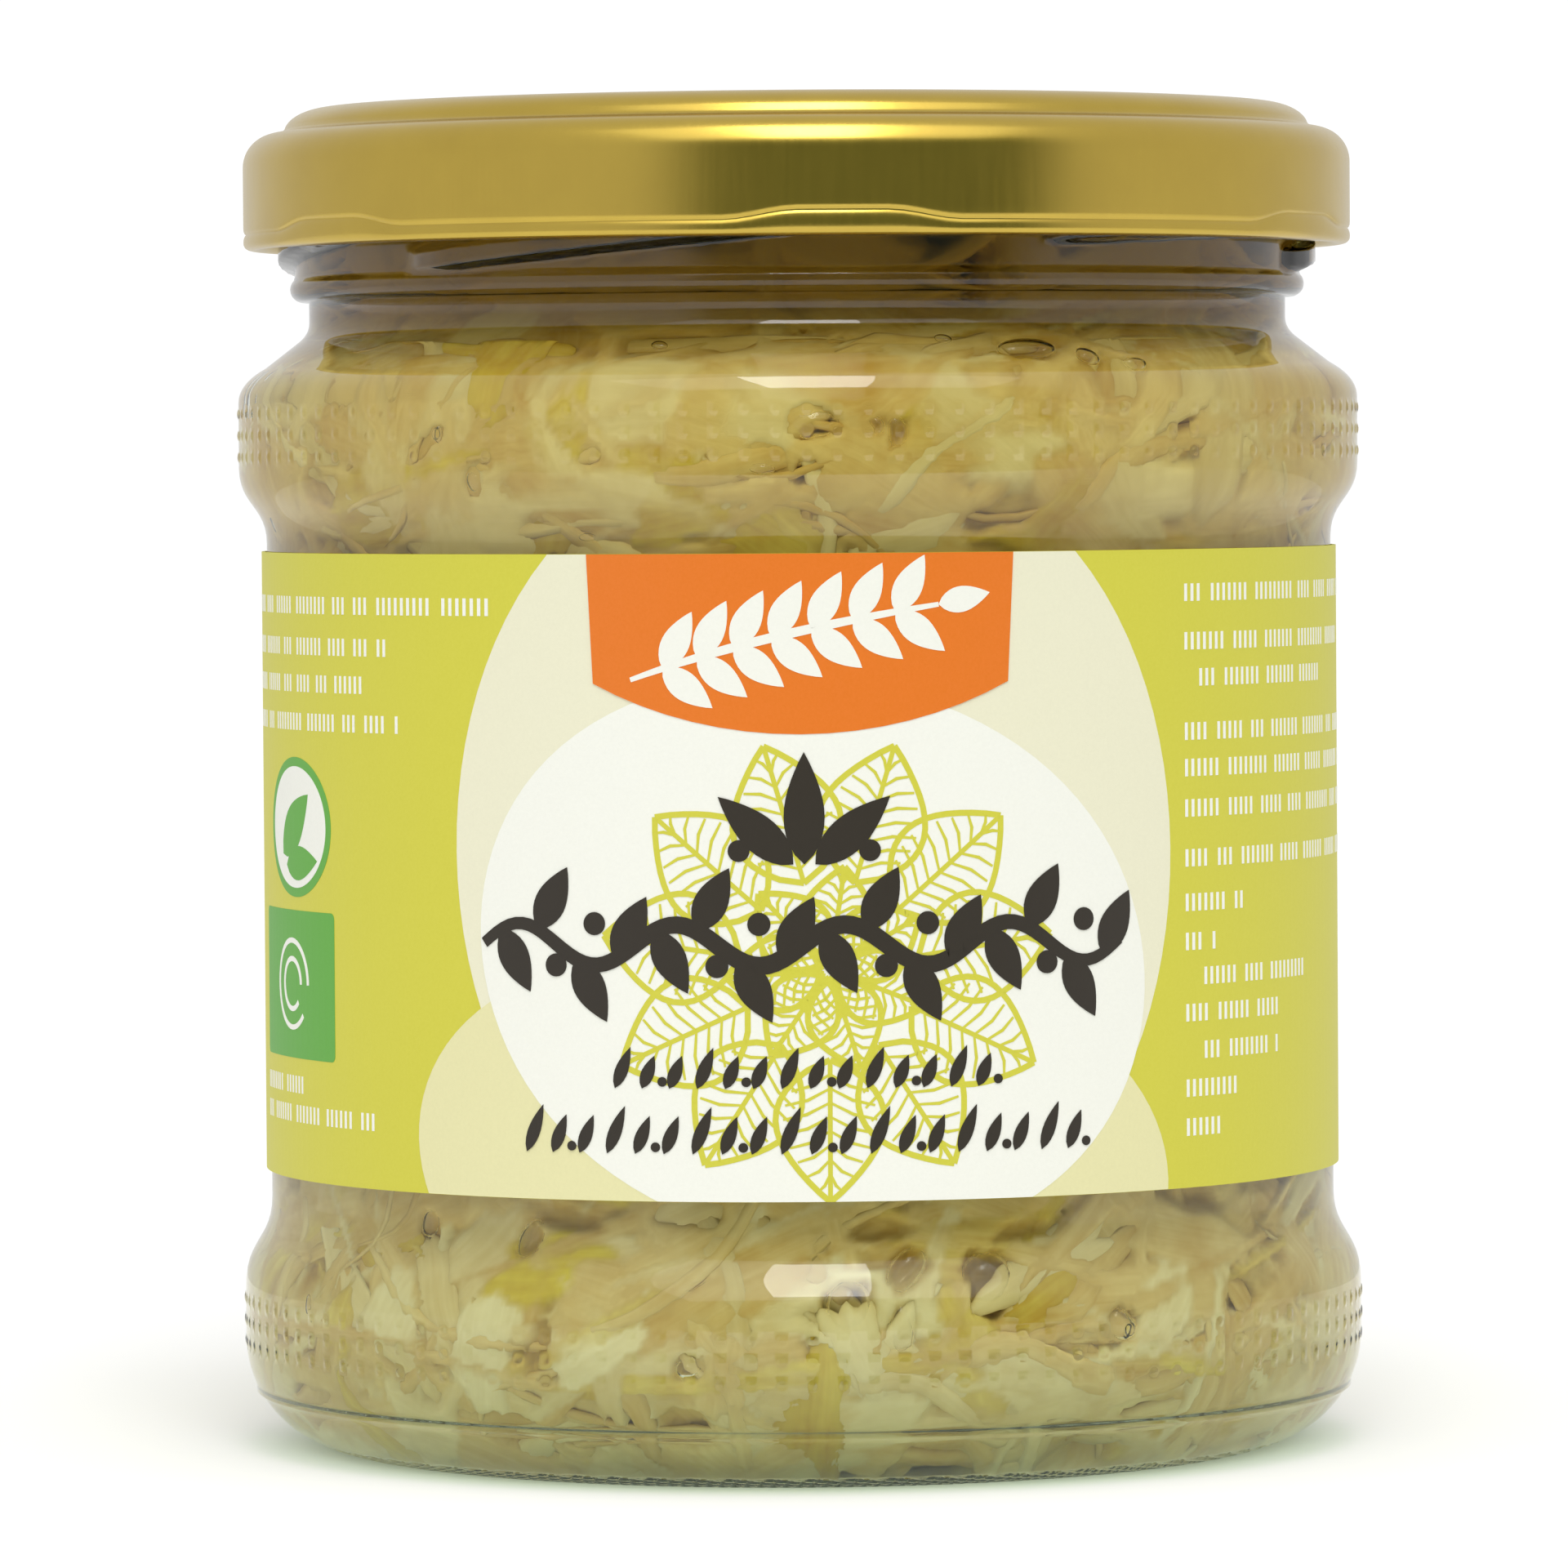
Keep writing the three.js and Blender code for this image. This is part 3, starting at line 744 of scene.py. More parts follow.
def inset_outline(points, thickness):
    """The same run of points one sheet thickness further in."""
    moved = []
    for i, point in enumerate(points):
        before, after = points[max(i - 1, 0)], points[min(i + 1, len(points) - 1)]
        reach = math.dist(before, after)
        along = ((after[0] - before[0]) / reach, (after[1] - before[1]) / reach)
        inner = (point[0] - along[1] * thickness, point[1] + along[0] * thickness)
        moved.append(inner if point[0] > 0 else (0, point[1] - thickness))
    return moved


def press_lugs(bm, s):
    """Six lugs, where the rolled edge is taller and tucked in under the threads."""
    for v in bm.verts:
        if v.co.z > CREASE_HEIGHT + CREASE_REACH:
            continue
        angle = math.degrees(angle_of(v.co))
        off = min(abs((angle - LUG_ANGLE - k * 360 / LUGS + 180) % 360 - 180) for k in range(LUGS))
        part = min(1.0, max(0.0, 1 - (off - LUG_HALF_WIDTH) / LUG_SLOPE))
        part = part * part * (3 - 2 * part)
        up = min((v.co.z - LID_BOTTOM) / (CREASE_HEIGHT - LID_BOTTOM),
                 1 - (v.co.z - CREASE_HEIGHT) / CREASE_REACH)
        radius = v.co.xy.length
        if radius < CURL_CORNER + 0.1 * MM:
            v.co.xy *= (radius - LUG_REACH * part) / radius
        v.co.z += s.lug_rise * part * max(0.0, up)


class JAR_OT_lid(bpy.types.Operator):
    """Build the pressed gold twist-off lid with its rolled edge and six lugs"""

    bl_idname = "jar.lid"
    bl_label = "Lid"

    def execute(self, context):
        s = settings().lid
        outside = without_repeats(lid_outside(s.radius))
        inside = inset_outline(outside, SHEET)[::-1]
        bm = turned(without_repeats([*inside, *lid_curl(s.radius), *outside]))
        press_lugs(bm, s)
        bmesh.ops.recalc_face_normals(bm, faces=bm.faces)
        finished(bm, "lid_pressed", "lid", lacquered_tinplate(s), replaced="lid")
        return {"FINISHED"}


# Label: outlines drawn flat in millimetres, as (distance round the jar, height)

def towards(start, heading, distance, aside=0.0):
    """The place at a distance along a heading in degrees, and aside to the left of it."""
    cosine, sine = math.cos(math.radians(heading)), math.sin(math.radians(heading))
    return (start[0] + distance * cosine - aside * sine, start[1] + distance * sine + aside * cosine)


def ellipse(centre, half, tilt=0.0, steps=96):
    """An ellipse with its half axes, tilted by some degrees."""
    return [towards(centre, tilt, half[0] * math.cos(a), half[1] * math.sin(a))
            for a in np.linspace(0, FULL_TURN, steps, endpoint=False)]


def leaf_side(t):
    """Half width of a pointed leaf along its length, as a share of its greatest."""
    return math.sin(math.pi * t**0.8) ** 0.9


def leaf(base, heading, length, width, steps=12):
    """A pointed leaf from its base, heading in degrees."""
    stations = [k / steps for k in range(steps + 1)]
    left = [(t * length, leaf_side(t) * width / 2) for t in stations]
    right = [(t * length, -leaf_side(t) * width / 2) for t in stations[-2:0:-1]]
    return [towards(base, heading, *point) for point in [*left, *right]]


def stroke(points, width, taper=0.0):
    """The outline of a pen line: width across, thinner towards its ends by taper."""
    left, right = [], []
    for i, point in enumerate(points):
        before, after = points[max(i - 1, 0)], points[min(i + 1, len(points) - 1)]
        reach = math.dist(before, after)
        normal = (-(after[1] - before[1]) / reach, (after[0] - before[0]) / reach)
        share = math.sin(math.pi * i / (len(points) - 1))
        half = width / 2 * (1 - taper + taper * share)
        left.append((point[0] + normal[0] * half, point[1] + normal[1] * half))
        right.append((point[0] - normal[0] * half, point[1] - normal[1] * half))
    return left + right[::-1]


def bar(start, end, bottom, top):
    """A rectangle between two distances and two heights."""
    return [(start, bottom), (end, bottom), (end, top), (start, top)]


def rounded_bar(start, end, bottom, top, corner):
    """The same with rounded corners."""
    spots = [((end - corner, bottom + corner), -90), ((end - corner, top - corner), 0),
             ((start + corner, top - corner), 90), ((start + corner, bottom + corner), 180)]
    return [p for centre, angle in spots for p in arc(centre, corner, angle, angle + 90, 5)]


def drawn_leaf(base, heading, length, width, pen):
    """A leaf drawn in line: two sides, a rib and hatched veins."""
    tip = 14
    outline = leaf(base, heading, length, width, tip)
    side, other, rib = outline[: tip + 1], outline[tip:], [outline[0], outline[tip]]
    lines = [stroke(side, pen), stroke([base, *other[::-1]], pen), stroke(rib, pen * 0.8)]
    for k in range(1, 9):
        for sign in (-1, 1):
            ahead = k / 10 + 0.12
            reach = leaf_side(ahead) * width / 2 * sign
            start = towards(base, heading, k / 10 * length)
            end = towards(base, heading, ahead * length, reach * 0.86)
            halfway = ((start[0] + end[0]) / 2, (start[1] + end[1]) / 2)
            vein = [start, towards(halfway, heading, 0.25), end]
            lines.append(stroke(vein, pen * 0.55, 0.3))
    return lines


def ink_sheet(outlines, s, layer):
    """Thin printed fields, cut flat and wrapped round the jar, one layer over the last."""
    bm = bmesh.new()
    lift = bm.verts.layers.float.new("lift")
    for index, outline in enumerate(outlines):
        verts = [bm.verts.new((x * MM, 0, z * MM)) for x, z in outline]
        for v in verts:
            v[lift] = (index % 9) * INK_LIFT
        edges = [bm.edges.new(pair) for pair in zip(verts, verts[1:] + verts[:1])]
        bmesh.ops.triangle_fill(bm, use_beauty=True, edges=edges)
    for height, up in ((s.bottom + INK_MARGIN, -1), (s.top - INK_MARGIN, 1)):
        bmesh.ops.bisect_plane(
            bm, geom=[*bm.verts, *bm.edges, *bm.faces], plane_co=(0, 0, height),
            plane_no=(0, 0, up), clear_outer=True,
        )
    step = FULL_TURN / TURN_STEPS * s.radius
    low = min(v.co.x for v in bm.verts)
    high = max(v.co.x for v in bm.verts)
    for k in range(math.ceil(low / step), math.floor(high / step) + 1):
        bmesh.ops.bisect_plane(
            bm, geom=[*bm.verts, *bm.edges, *bm.faces], plane_co=(k * step, 0, 0),
            plane_no=(1, 0, 0),
        )
    raised = bmesh.ops.extrude_face_region(bm, geom=bm.faces[:], use_keep_orig=True)["geom"]
    for v in (g for g in raised if isinstance(g, bmesh.types.BMVert)):
        v.co.y = layer * s.ink_step + v[lift]
    for v in bm.verts:
        depth = v.co.y if v.co.y > 0 else -s.ink_step
        v.co = placed(s.radius + depth, v.co.x / s.radius, v.co.z)
    bmesh.ops.recalc_face_normals(bm, faces=bm.faces)
    return bm


def dashes(draw, start, end, height, tall):
    """A line of small ticks in groups of word length."""
    bars, at, left = [], start, draw.randint(3, 9)
    while at < end:
        bars.append(bar(at, at + 0.3, height - tall / 2, height + tall / 2))
        left -= 1
        at += 0.68 if left else 1.6
        left = left or draw.randint(3, 9)
    return bars


def side_lines():
    """Rows of white dashes in the places of the small print."""
    draw = random.Random(7)
    bars = []
    for start, end, height in (
        (-61, -24.5, 65.1), (-61, -34.9, 62.0), (-61, -37.5, 59.2), (-61, -33.6, 56.3),
        (-57.5, -47.4, 28.8), (-57.5, -36.7, 26.6),
        (31.4, 68, 65.8), (31.4, 60, 62.2), (33, 52, 59.5), (31.4, 72, 55.5), (31.4, 70, 52.8),
        (31.4, 66, 49.8), (31.4, 74, 46.1), (31.4, 38, 42.8), (31.4, 35, 39.9),
        (33.4, 48, 37.3), (31.4, 43, 34.6), (33.4, 43, 31.8), (31.4, 37, 29.0), (31.4, 35, 26.1),
    ):
        bars += dashes(draw, start, end, height, 1.3)
    for row in range(6):
        bars += dashes(draw, 64, draw.uniform(69, 73), 42.8 - 2.78 * row, 1.3)
    for row in range(12):
        height = 64.5 - 3.1 * row
        bars += dashes(draw, 82, draw.uniform(104, 118), height, 1.2)
        bars += dashes(draw, -118, draw.uniform(-86, -74), height, 1.2)
    return bars


def headline_rows():
    """Black ornaments: a sprig, a garland and two slim rows of slanted leaves."""
    shapes = [leaf((x, 46.3), heading, length, width) for x, heading, length, width in (
        (0.2, 90, 8.2, 3.0), (-0.6, 138, 7.4, 2.7), (1.0, 42, 7.4, 2.7),
    )]
    shapes += [ellipse((x, 47.3), (0.8, 0.8), steps=24) for x in (-4.6, 5.0)]
    middle, swing, wave = 40.4, 1.5, 12.4
    stem = [(x, middle + swing * math.sin(FULL_TURN * x / wave)) for x in np.linspace(-24.8, 24.8, 90)]
    shapes.append(stroke(stem, 1.35, 0.4))
    for k in range(16):
        x = -23.25 + 3.1 * k
        y = middle + swing * math.sin(FULL_TURN * x / wave)
        side = 1 if k % 2 else -1
        shapes.append(leaf((x, y), side * 62, 5.2, 2.5))
        if k % 4 in (1, 2):
            shapes.append(ellipse((x + 1.5, y - side * 2.6), (0.85, 0.85), steps=24))
    for count, height, tall, spacing in ((14, 29.9, 2.6, 2.08), (20, 25.1, 3.0, 2.18)):
        for k in range(count):
            x = (k - (count - 1) / 2) * spacing
            shapes.append(leaf((x - 0.5, height), 68, tall * (1.0 if k % 3 else 1.25), 1.0, 8))
            if k % 3 == 1:
                shapes.append(ellipse((x + 1.05, height + 0.5), (0.36, 0.36), steps=14))
    return shapes


def rosette():
    """A rosette of leaves in line and hatching, behind the ornaments."""
    lines = []
    for count, inner, length, width, turn in ((11, 6.6, 10.4, 8.0, 8), (7, 0.6, 7.0, 5.4, 30)):
        for k in range(count):
            heading = turn + 360 * k / count
            base = towards((2.0, 38.6), heading, inner)
            lines += drawn_leaf(base, heading, length, width, 0.44)
    return lines


def tab_sprig():
    """A white leafy sprig on the orange tab."""
    stem = bezier([(-12.6, 59.8), (-3, 63.2), (10.2, 65.2)], 16)
    shapes = [stroke(stem, 0.7, 0.5)]
    shapes += [leaf(stem[k], heading, 4.7, 2.1) for k in range(2, 15, 2) for heading in (62, -38)]
    shapes.append(leaf(stem[16], 12, 4.0, 1.9))
    return shapes


class JAR_OT_label(bpy.types.Operator):
    """Wrap the paper label round the jar, with its lapped end at the back"""

    bl_idname = "jar.label"
    bl_label = "Label paper"

    def execute(self, context):
        s = settings().label
        inner = LABEL_BOX[1].x - PAPER
        section = [(inner, s.bottom), (s.radius, s.bottom), (s.radius, s.top), (inner, s.top)]
        bm = turned([*section, section[0]])
        paper = printed_paper("label_paper_ground", s.ground)
        finished(bm, "label_paper", "label", paper, replaced="label").data.shade_flat()
        half = math.pi * s.radius / MM
        lap = ink_sheet([bar(half - 9, half + 3, s.bottom / MM, s.top / MM)], s, 4)
        finished(lap, "label_lap", "label", paper, smooth=False)
        return {"FINISHED"}


class JAR_OT_print(bpy.types.Operator):
    """Print the label: coloured fields, a leaf rosette, ornament rows and dashes"""

    bl_idname = "jar.print"
    bl_label = "Label print"

    def execute(self, context):
        s = settings().label
        top = s.top / MM
        tab = [*arc((0, 90), 34.2, -117, -63, 16), (16, top), (-16, top)]
        badge = (-48.6, 48.3)
        arcs = [ellipse((-49.6, 36.4), (r, r), steps=40)[:36] for r in (1.9, 3.3)]
        fields = {
            "print_cream": ([ellipse((1.2, 47), (28.6, 31), 4)], 1, s.cream),
            "print_beige": ([ellipse((-1, 24), (30.5, 16.5), -5)], 2, s.beige),
            "print_white": ([ellipse((1.0, 39.2), (26.4, 20.6), -12)], 3, s.paper),
            "print_rosette": (rosette(), 4, s.line),
            "print_tab": ([tab], 5, s.orange),
            "print_sprig": (tab_sprig(), 6, s.paper),
            "print_black": (headline_rows(), 6, s.black),
            "print_dashes": (side_lines(), 1, s.paper),
            "print_panel": ([rounded_bar(-57.5, -41.8, 30.8, 42, 0.5), ellipse(badge, (6.4, 5.3))],
                            1, s.green),
            "print_panel_marks": ([*[stroke(a, 0.4) for a in arcs], ellipse(badge, (5.6, 4.6))],
                                  2, s.paper),
            "print_badge_leaf": ([leaf((-51.5, 46.2), 40, 7.2, 3.4),
                                  leaf((-50.6, 45.4), 4, 6.2, 2.6)], 3, s.green),
        }
        for name, (outlines, layer, shade) in fields.items():
            material = printed_paper(name.replace("print", "offset_ink"), shade)
            finished(ink_sheet(outlines, s, layer), name, "label", material, smooth=False)
        return {"FINISHED"}


# Kraut

BED_STEPS = 560
BED_BASE, BED_SWING = 2.7 * MM, 0.6 * MM
NECK_RECESS = ((82.5 * MM, 0.0), (88.0 * MM, 2.8 * MM))
# How far the middles of strips and scraps lie under the surface, as a share of their thickness
SUNK_STRIP, SUNK_SCRAP = 0.12, 0.2
END_DIP, LEAST_FILM = 0.9 * MM, (0.05 * MM, 0.3 * MM)

KNOWN_PIECES = (
    # angle and height of the middle, half length, half width, heading, tint, leafy, rib
    (-12.0, 79.8, 12.5, 3.0, -2, 0.75, 0.0, 0.9), (-24.8, 78.1, 3.2, 2.6, 40, 0.9, 0.9, 0.0),
    (-20.0, 77.0, 5.5, 0.7, -50, 1.0, 0.0, 0.2), (-14.3, 75.4, 3.6, 1.5, -8, 0.6, 0.9, 0.0),
    (-16.8, 72.7, 6.5, 2.4, -12, 0.9, 0.0, 0.8), (12.2, 78.4, 3.0, 2.0, 70, 0.55, 1.0, 0.0),
    (24.8, 82.9, 1.6, 1.5, 0, 0.0, 0.6, 0.0), (27.4, 70.7, 1.6, 1.4, 80, 0.1, 1.0, 0.0),
    (38.0, 73.4, 5.0, 2.8, 5, 0.9, 0.0, 0.7), (-26.6, 16.2, 5.6, 3.0, 5, 0.65, 1.0, 0.0),
    (-36.0, 9.6, 5.2, 2.6, 75, 0.9, 0.0, 1.0), (-22.0, 10.3, 4.6, 2.0, 32, 0.95, 0.0, 1.0),
    (-9.0, 11.4, 7.0, 1.2, 15, 0.9, 0.0, 0.6), (5.0, 5.5, 6.0, 2.4, 10, 0.9, 0.0, 0.9),
    (26.0, 7.5, 6.0, 2.6, -15, 0.9, 0.0, 0.8), (16.0, 17.5, 6.0, 2.6, -5, 0.3, 0.4, 0.0),
    (40.0, 12.0, 4.0, 2.4, 50, 0.8, 0.0, 0.8), (-48.0, 75.0, 4.4, 2.6, 60, 0.8, 0.0, 0.6),
)
KNOWN_GAPS = (
    # angle and height of the middle, half length, half width, heading
    (-5.6, 75.1, 0.9, 0.5, 5), (0.6, 75.0, 0.9, 0.7, 30), (-29.0, 10.4, 2.4, 0.7, 70),
    (-13.0, 5.2, 1.4, 2.0, 80), (-34.0, 4.8, 2.6, 1.2, -25), (-27.0, 20.2, 3.0, 0.8, -10),
    (-12.0, 20.6, 2.6, 0.8, 0), (8.0, 19.4, 2.2, 0.9, 0), (24.0, 19.0, 2.4, 0.6, 10),
    (20.0, 71.5, 1.4, 1.0, 30), (44.0, 78.0, 1.2, 0.6, 60), (-42.0, 77.0, 1.6, 0.5, 40),
)


def bed_rows():
    """Distances along the wall of the bed's rows, close together where the jar shows them."""
    return np.concatenate([
        np.linspace(1.5 * MM, CHANNEL - 3 * MM, 16, endpoint=False),
        np.linspace(CHANNEL - 3 * MM, along_at(25 * MM), 74, endpoint=False),
        np.linspace(along_at(25 * MM), along_at(66 * MM), 11, endpoint=False),
        np.linspace(along_at(66 * MM), along_at(93 * MM), 66),
    ])


def neck_recess(along):
    """How much further from the glass the kraut lies towards the neck."""
    low, high = NECK_RECESS
    return np.interp(along, [along_at(low[0]), along_at(high[0])], [low[1], high[1]])


class Bed:
    """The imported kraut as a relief: its depth in from the glass by row and angle."""

    softness = 0.09 * MM
    # Where a piece's edge starts to sink, as a share of its reach, over how much more, and how far
    edge_start, edge_width, edge_drop = 0.72, 0.5, 1.1 * MM
    lean_along, lean_across = 0.2 * MM, 0.15 * MM
    swell_height, swell_length = 0.1 * MM, 2.2 * MM
    # The brine left between glass and kraut, how much that varies, and how softly it is reached
    film, film_swing, film_give = 0.16 * MM, 0.08 * MM, 0.08 * MM
    evened = range(-4, 5)

    def __init__(self, rng):
        self.rng = rng
        self.step = FULL_TURN / BED_STEPS
        self.rows = bed_rows()
        self.radius = np.maximum(radius_at(self.rows), 2 * MM)[:, None]
        size = (len(self.rows), BED_STEPS)
        angle, along = np.arange(BED_STEPS) * self.step, self.rows[:, None] / MM
        waves = np.sin(7 * angle + along / 4) * np.sin(5 * angle - along / 5)
        self.depth = BED_BASE + BED_SWING * waves
        self.look = np.zeros((*size, 3))
        self.fibre = np.zeros((*size, 3))

    def window(self, angle, along, halves, heading):
        """The cells round a place, with their offsets along and across a heading."""
        reach = max(halves) * 1.35
        rows = np.nonzero(np.abs(self.rows - along) < reach)[0]
        if not len(rows):
            return None
        radius = self.radius[rows]
        span = min(int(reach / (radius.min() * self.step)) + 1, BED_STEPS // 2 - 1)
        columns = int(angle / self.step) + np.arange(-span, span + 1)
        x = (columns * self.step - angle) * radius
        y = self.rows[rows, None] - along + 0 * x
        u = x * math.cos(heading) + y * math.sin(heading)
        v = y * math.cos(heading) - x * math.sin(heading)
        return np.ix_(rows, columns % BED_STEPS), u, v

    def share(self, u, v, halves, bend, phases):
        """How far out each cell lies in a rounded, slightly ragged piece: 1 at its edge."""
        along, across = u / halves[0], v / halves[1] - bend * (u / halves[0]) ** 2
        around = np.arctan2(across, along)
        ragged = 1 + 0.1 * np.sin(3 * around + phases[0]) + 0.07 * np.sin(7 * around + phases[1])
        return (np.abs(along) ** 2.6 + np.abs(across) ** 2.6) ** (1 / 2.6) / ragged

    def press(self, angle, along, halves, heading, level, look):
        """Presses in one soft piece, its edge sinking into what lies deeper."""
        found = self.window(angle, along, halves, heading)
        if found is None:
            return
        cells, u, v = found
        bend, *leans = self.rng.normal(0, 1, 3)
        phases = self.rng.uniform(0, FULL_TURN, 3)
        share = self.share(u, v, halves, bend * 0.3, phases)
        sunk = np.clip((share - self.edge_start) / self.edge_width, 0, 1)
        relief = level + np.sin(u / self.swell_length + phases[2]) * self.swell_height
        relief += leans[0] * self.lean_along * u / halves[0]
        relief += leans[1] * self.lean_across * v / halves[1]
        relief += sunk * sunk * (3 - 2 * sunk) * self.edge_drop
        over = np.clip((relief - self.depth[cells]) / self.softness, -30, 30)
        weight = (share < 1.25) / (1 + np.exp(over))
        self.depth[cells] += (relief - self.depth[cells]) * weight
        self.look[cells] += (np.array(look) - self.look[cells]) * weight[..., None]
        own = np.stack([u + phases[0], v, 0 * u], -1)
        self.fibre[cells] = np.where(weight[..., None] > 0.5, own, self.fibre[cells])

    def part(self, angle, along, halves, heading, floor=1.25 * MM):
        """Parts the pieces at one place, so that the shaded inside shows, and paints shade into it by
        darkening their colour there.
        """
        found = self.window(angle, along, halves, heading)
        if found is None:
            return
        cells, u, v = found
        share = self.share(u, v, halves, 0, self.rng.uniform(0, FULL_TURN, 2))
        weight = np.clip((1.2 - share) / 0.5, 0, 1)
        self.depth[cells] += np.maximum(floor - self.depth[cells], 0) * weight
        # Painted shade: the tint, leaf and rib shares fall to half in the gap's middle, so its colour
        # turns darker straw
        self.look[cells] *= 1 - weight[..., None] / 2

    def settle(self):
        """Flattens what the glass presses on, and draws the kraut in towards the neck."""
        angle, along = np.arange(BED_STEPS) * self.step, self.rows[:, None] / MM
        waves = np.sin(9 * angle + along / 3) * np.cos(4 * angle - along / 7)
        film = self.film + self.film_swing * waves
        over = (self.depth - film) / self.film_give
        self.depth = film + np.logaddexp(0, over) * self.film_give + neck_recess(self.rows)[:, None]
        mean = np.mean([np.roll(self.depth, k, 1) for k in self.evened], 0)
        self.even = np.mean([mean[np.clip(np.arange(len(mean)) + k, 0, len(mean) - 1)]
                             for k in self.evened], 0)

    def depth_at(self, angle, along):
        """The evened depth of the relief at some places."""
        column = (angle / self.step).astype(int) % BED_STEPS
        row = np.clip(np.searchsorted(self.rows, along), 0, len(self.rows) - 1)
        return self.even[row, column]


def press_bed(rng, s):
    """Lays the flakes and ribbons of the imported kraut, and the pieces that the front shows."""
    bed = Bed(rng)
    kinds = ((s.flakes, (2.4, 8.0), (1.3, 3.4), (-0.4, 1.5), 0.7),
             (s.ribbons, (5.0, 17.0), (0.45, 1.3), (-0.2, 1.0), 0.7))
    for count, lengths, widths, levels, lean in kinds:
        angles, places = spread_starts(rng, count, kraut_zones())
        for angle, along in zip(angles, places):
            halves = (rng.uniform(*lengths) * MM, rng.uniform(*widths) * MM)
            near_base = along < along_at(11 * MM)
            ribby = float(rng.random() < (0.6 if near_base else 0.25)) * rng.uniform(0.5, 1)
            leafy = float(rng.random() < 0.07) * rng.uniform(0.4, 0.9)
            look = (rng.uniform(0, 1), leafy, ribby * (leafy == 0))
            bed.press(angle, along, halves, rng.normal(0, lean), rng.uniform(*levels) * MM, look)
    for angle, height, long, wide, heading, *look in KNOWN_PIECES:
        bed.press(math.radians(angle) % FULL_TURN, along_at(height * MM), (long * MM, wide * MM),
                  math.radians(heading), -0.1 * MM, look)
    for angle, height, long, wide, heading in KNOWN_GAPS:
        bed.part(math.radians(angle) % FULL_TURN, along_at(height * MM), (long * MM, wide * MM),
                 math.radians(heading))
    for angle, height, wide, high, tilt in BUBBLES:
        bed.part(math.radians(angle) % FULL_TURN, along_at(height * MM),
                 (wide * 0.48 * MM, high * 0.48 * MM), math.radians(tilt),
                 (min(wide, high) * 2 * BUBBLE_FLATNESS + 0.12) * MM)
    bed.settle()
    return bed


def set_looks(mesh, fibre, look):
    """Stores on each point what the cabbage's material reads."""
    for name, values in (("fibre", fibre), ("look", look)):
        attribute = mesh.attributes.new(name, "FLOAT_VECTOR", "POINT")
        attribute.data.foreach_set("vector", values.reshape(-1).astype(np.float32))


def bed_mesh(bed, material):
    """The relief as a closed body: a grid wrapped round the jar, its points moved in from the glass."""
    bm, column, row = wrapped_grid(BED_STEPS, len(bed.rows) - 1)
    cell = (row, column % BED_STEPS)
    places = on_wall(cell[1] * bed.step, bed.rows[row], bed.depth[cell])
    layers = [bm.verts.layers.float_vector.new(name) for name in ("fibre", "look")]
    values = np.concatenate([places, bed.fibre[cell], bed.look[cell]], 1).tolist()
    for v, own in zip(bm.verts, values):
        v.co, v[layers[0]], v[layers[1]] = own[:3], own[3:6], own[6:]
    closed_round(bm)
    rims = [e for e in bm.edges if e.is_boundary]
    ends = bmesh.ops.holes_fill(bm, edges=rims, sides=0)["faces"]
    bmesh.ops.poke(bm, faces=ends)
    bmesh.ops.recalc_face_normals(bm, faces=bm.faces)
    finished(bm, "kraut_bed", "sauerkraut", material, replaced="sauerkraut")


def unit_tube(sections, rings):
    """A closed tube along X from -1 to 1, as arrays of points and a list of faces."""
    bm = bmesh.new()
    bmesh.ops.create_cone(bm, cap_ends=True, segments=sections, radius1=1, radius2=1, depth=2)
    upright = [e for e in bm.edges if abs(e.verts[0].co.z - e.verts[1].co.z) > 1]
    bmesh.ops.subdivide_edges(bm, edges=upright, cuts=rings - 2)
    bmesh.ops.rotate(bm, verts=bm.verts, matrix=Matrix.Rotation(math.pi / 2, 3, "Y"))
    return arrays_of(bm, mirrored=True)


def unit_block(cuts):
    """A cube from -1 to 1 with its faces split, as arrays of points and a list of faces."""
    bm = bmesh.new()
    bmesh.ops.create_cube(bm, size=2)
    bmesh.ops.subdivide_edges(bm, edges=bm.edges[:], cuts=cuts, use_grid_fill=True)
    return arrays_of(bm, mirrored=True)


def arrays_of(bm, mirrored=False):
    """A bmesh as arrays of points and a list of faces, turned over where its Z becomes a depth."""
    bmesh.ops.recalc_face_normals(bm, faces=bm.faces)
    if mirrored:
        bmesh.ops.reverse_faces(bm, faces=bm.faces)
    bm.verts.index_update()
    points = np.array([v.co[:] for v in bm.verts])
    faces = [[v.index for v in face.verts] for face in bm.faces]
    bm.free()
    return points, faces


def strewn(name, template, places, looks, slot, material):
    """Many copies of one shape as a single mesh; places hold each copy's points."""
    points, faces = template
    every_face = [[v + k * len(points) for v in face] for k in range(len(places)) for face in faces]
    mesh = bpy.data.meshes.new(name)
    mesh.from_pydata(places.reshape(-1, 3).tolist(), [], every_face)
    if looks:
        set_looks(mesh, *looks)
    mesh.update()
    return ridden(mesh, name, slot, material)


def spread_starts(rng, count, zones):
    """Start points for a number of pieces: angles all round, distances along the wall by zone."""
    lows, highs, shares = np.array(zones, float).T
    chosen = rng.choice(len(zones), count, p=shares / shares.sum())
    return rng.uniform(0, FULL_TURN, count), rng.uniform(lows[chosen], highs[chosen])


def kraut_zones(neck=True):
    """Floor, lower band, upper band and neck, with shares of the pieces."""
    return [
        (6 * MM, CHANNEL, 0.16),
        (CHANNEL, along_at(25 * MM), 0.4),
        (along_at(66 * MM), along_at(83 * MM), 0.36),
        (along_at(84 * MM), along_at(92 * MM), 0.08 * neck),
    ]


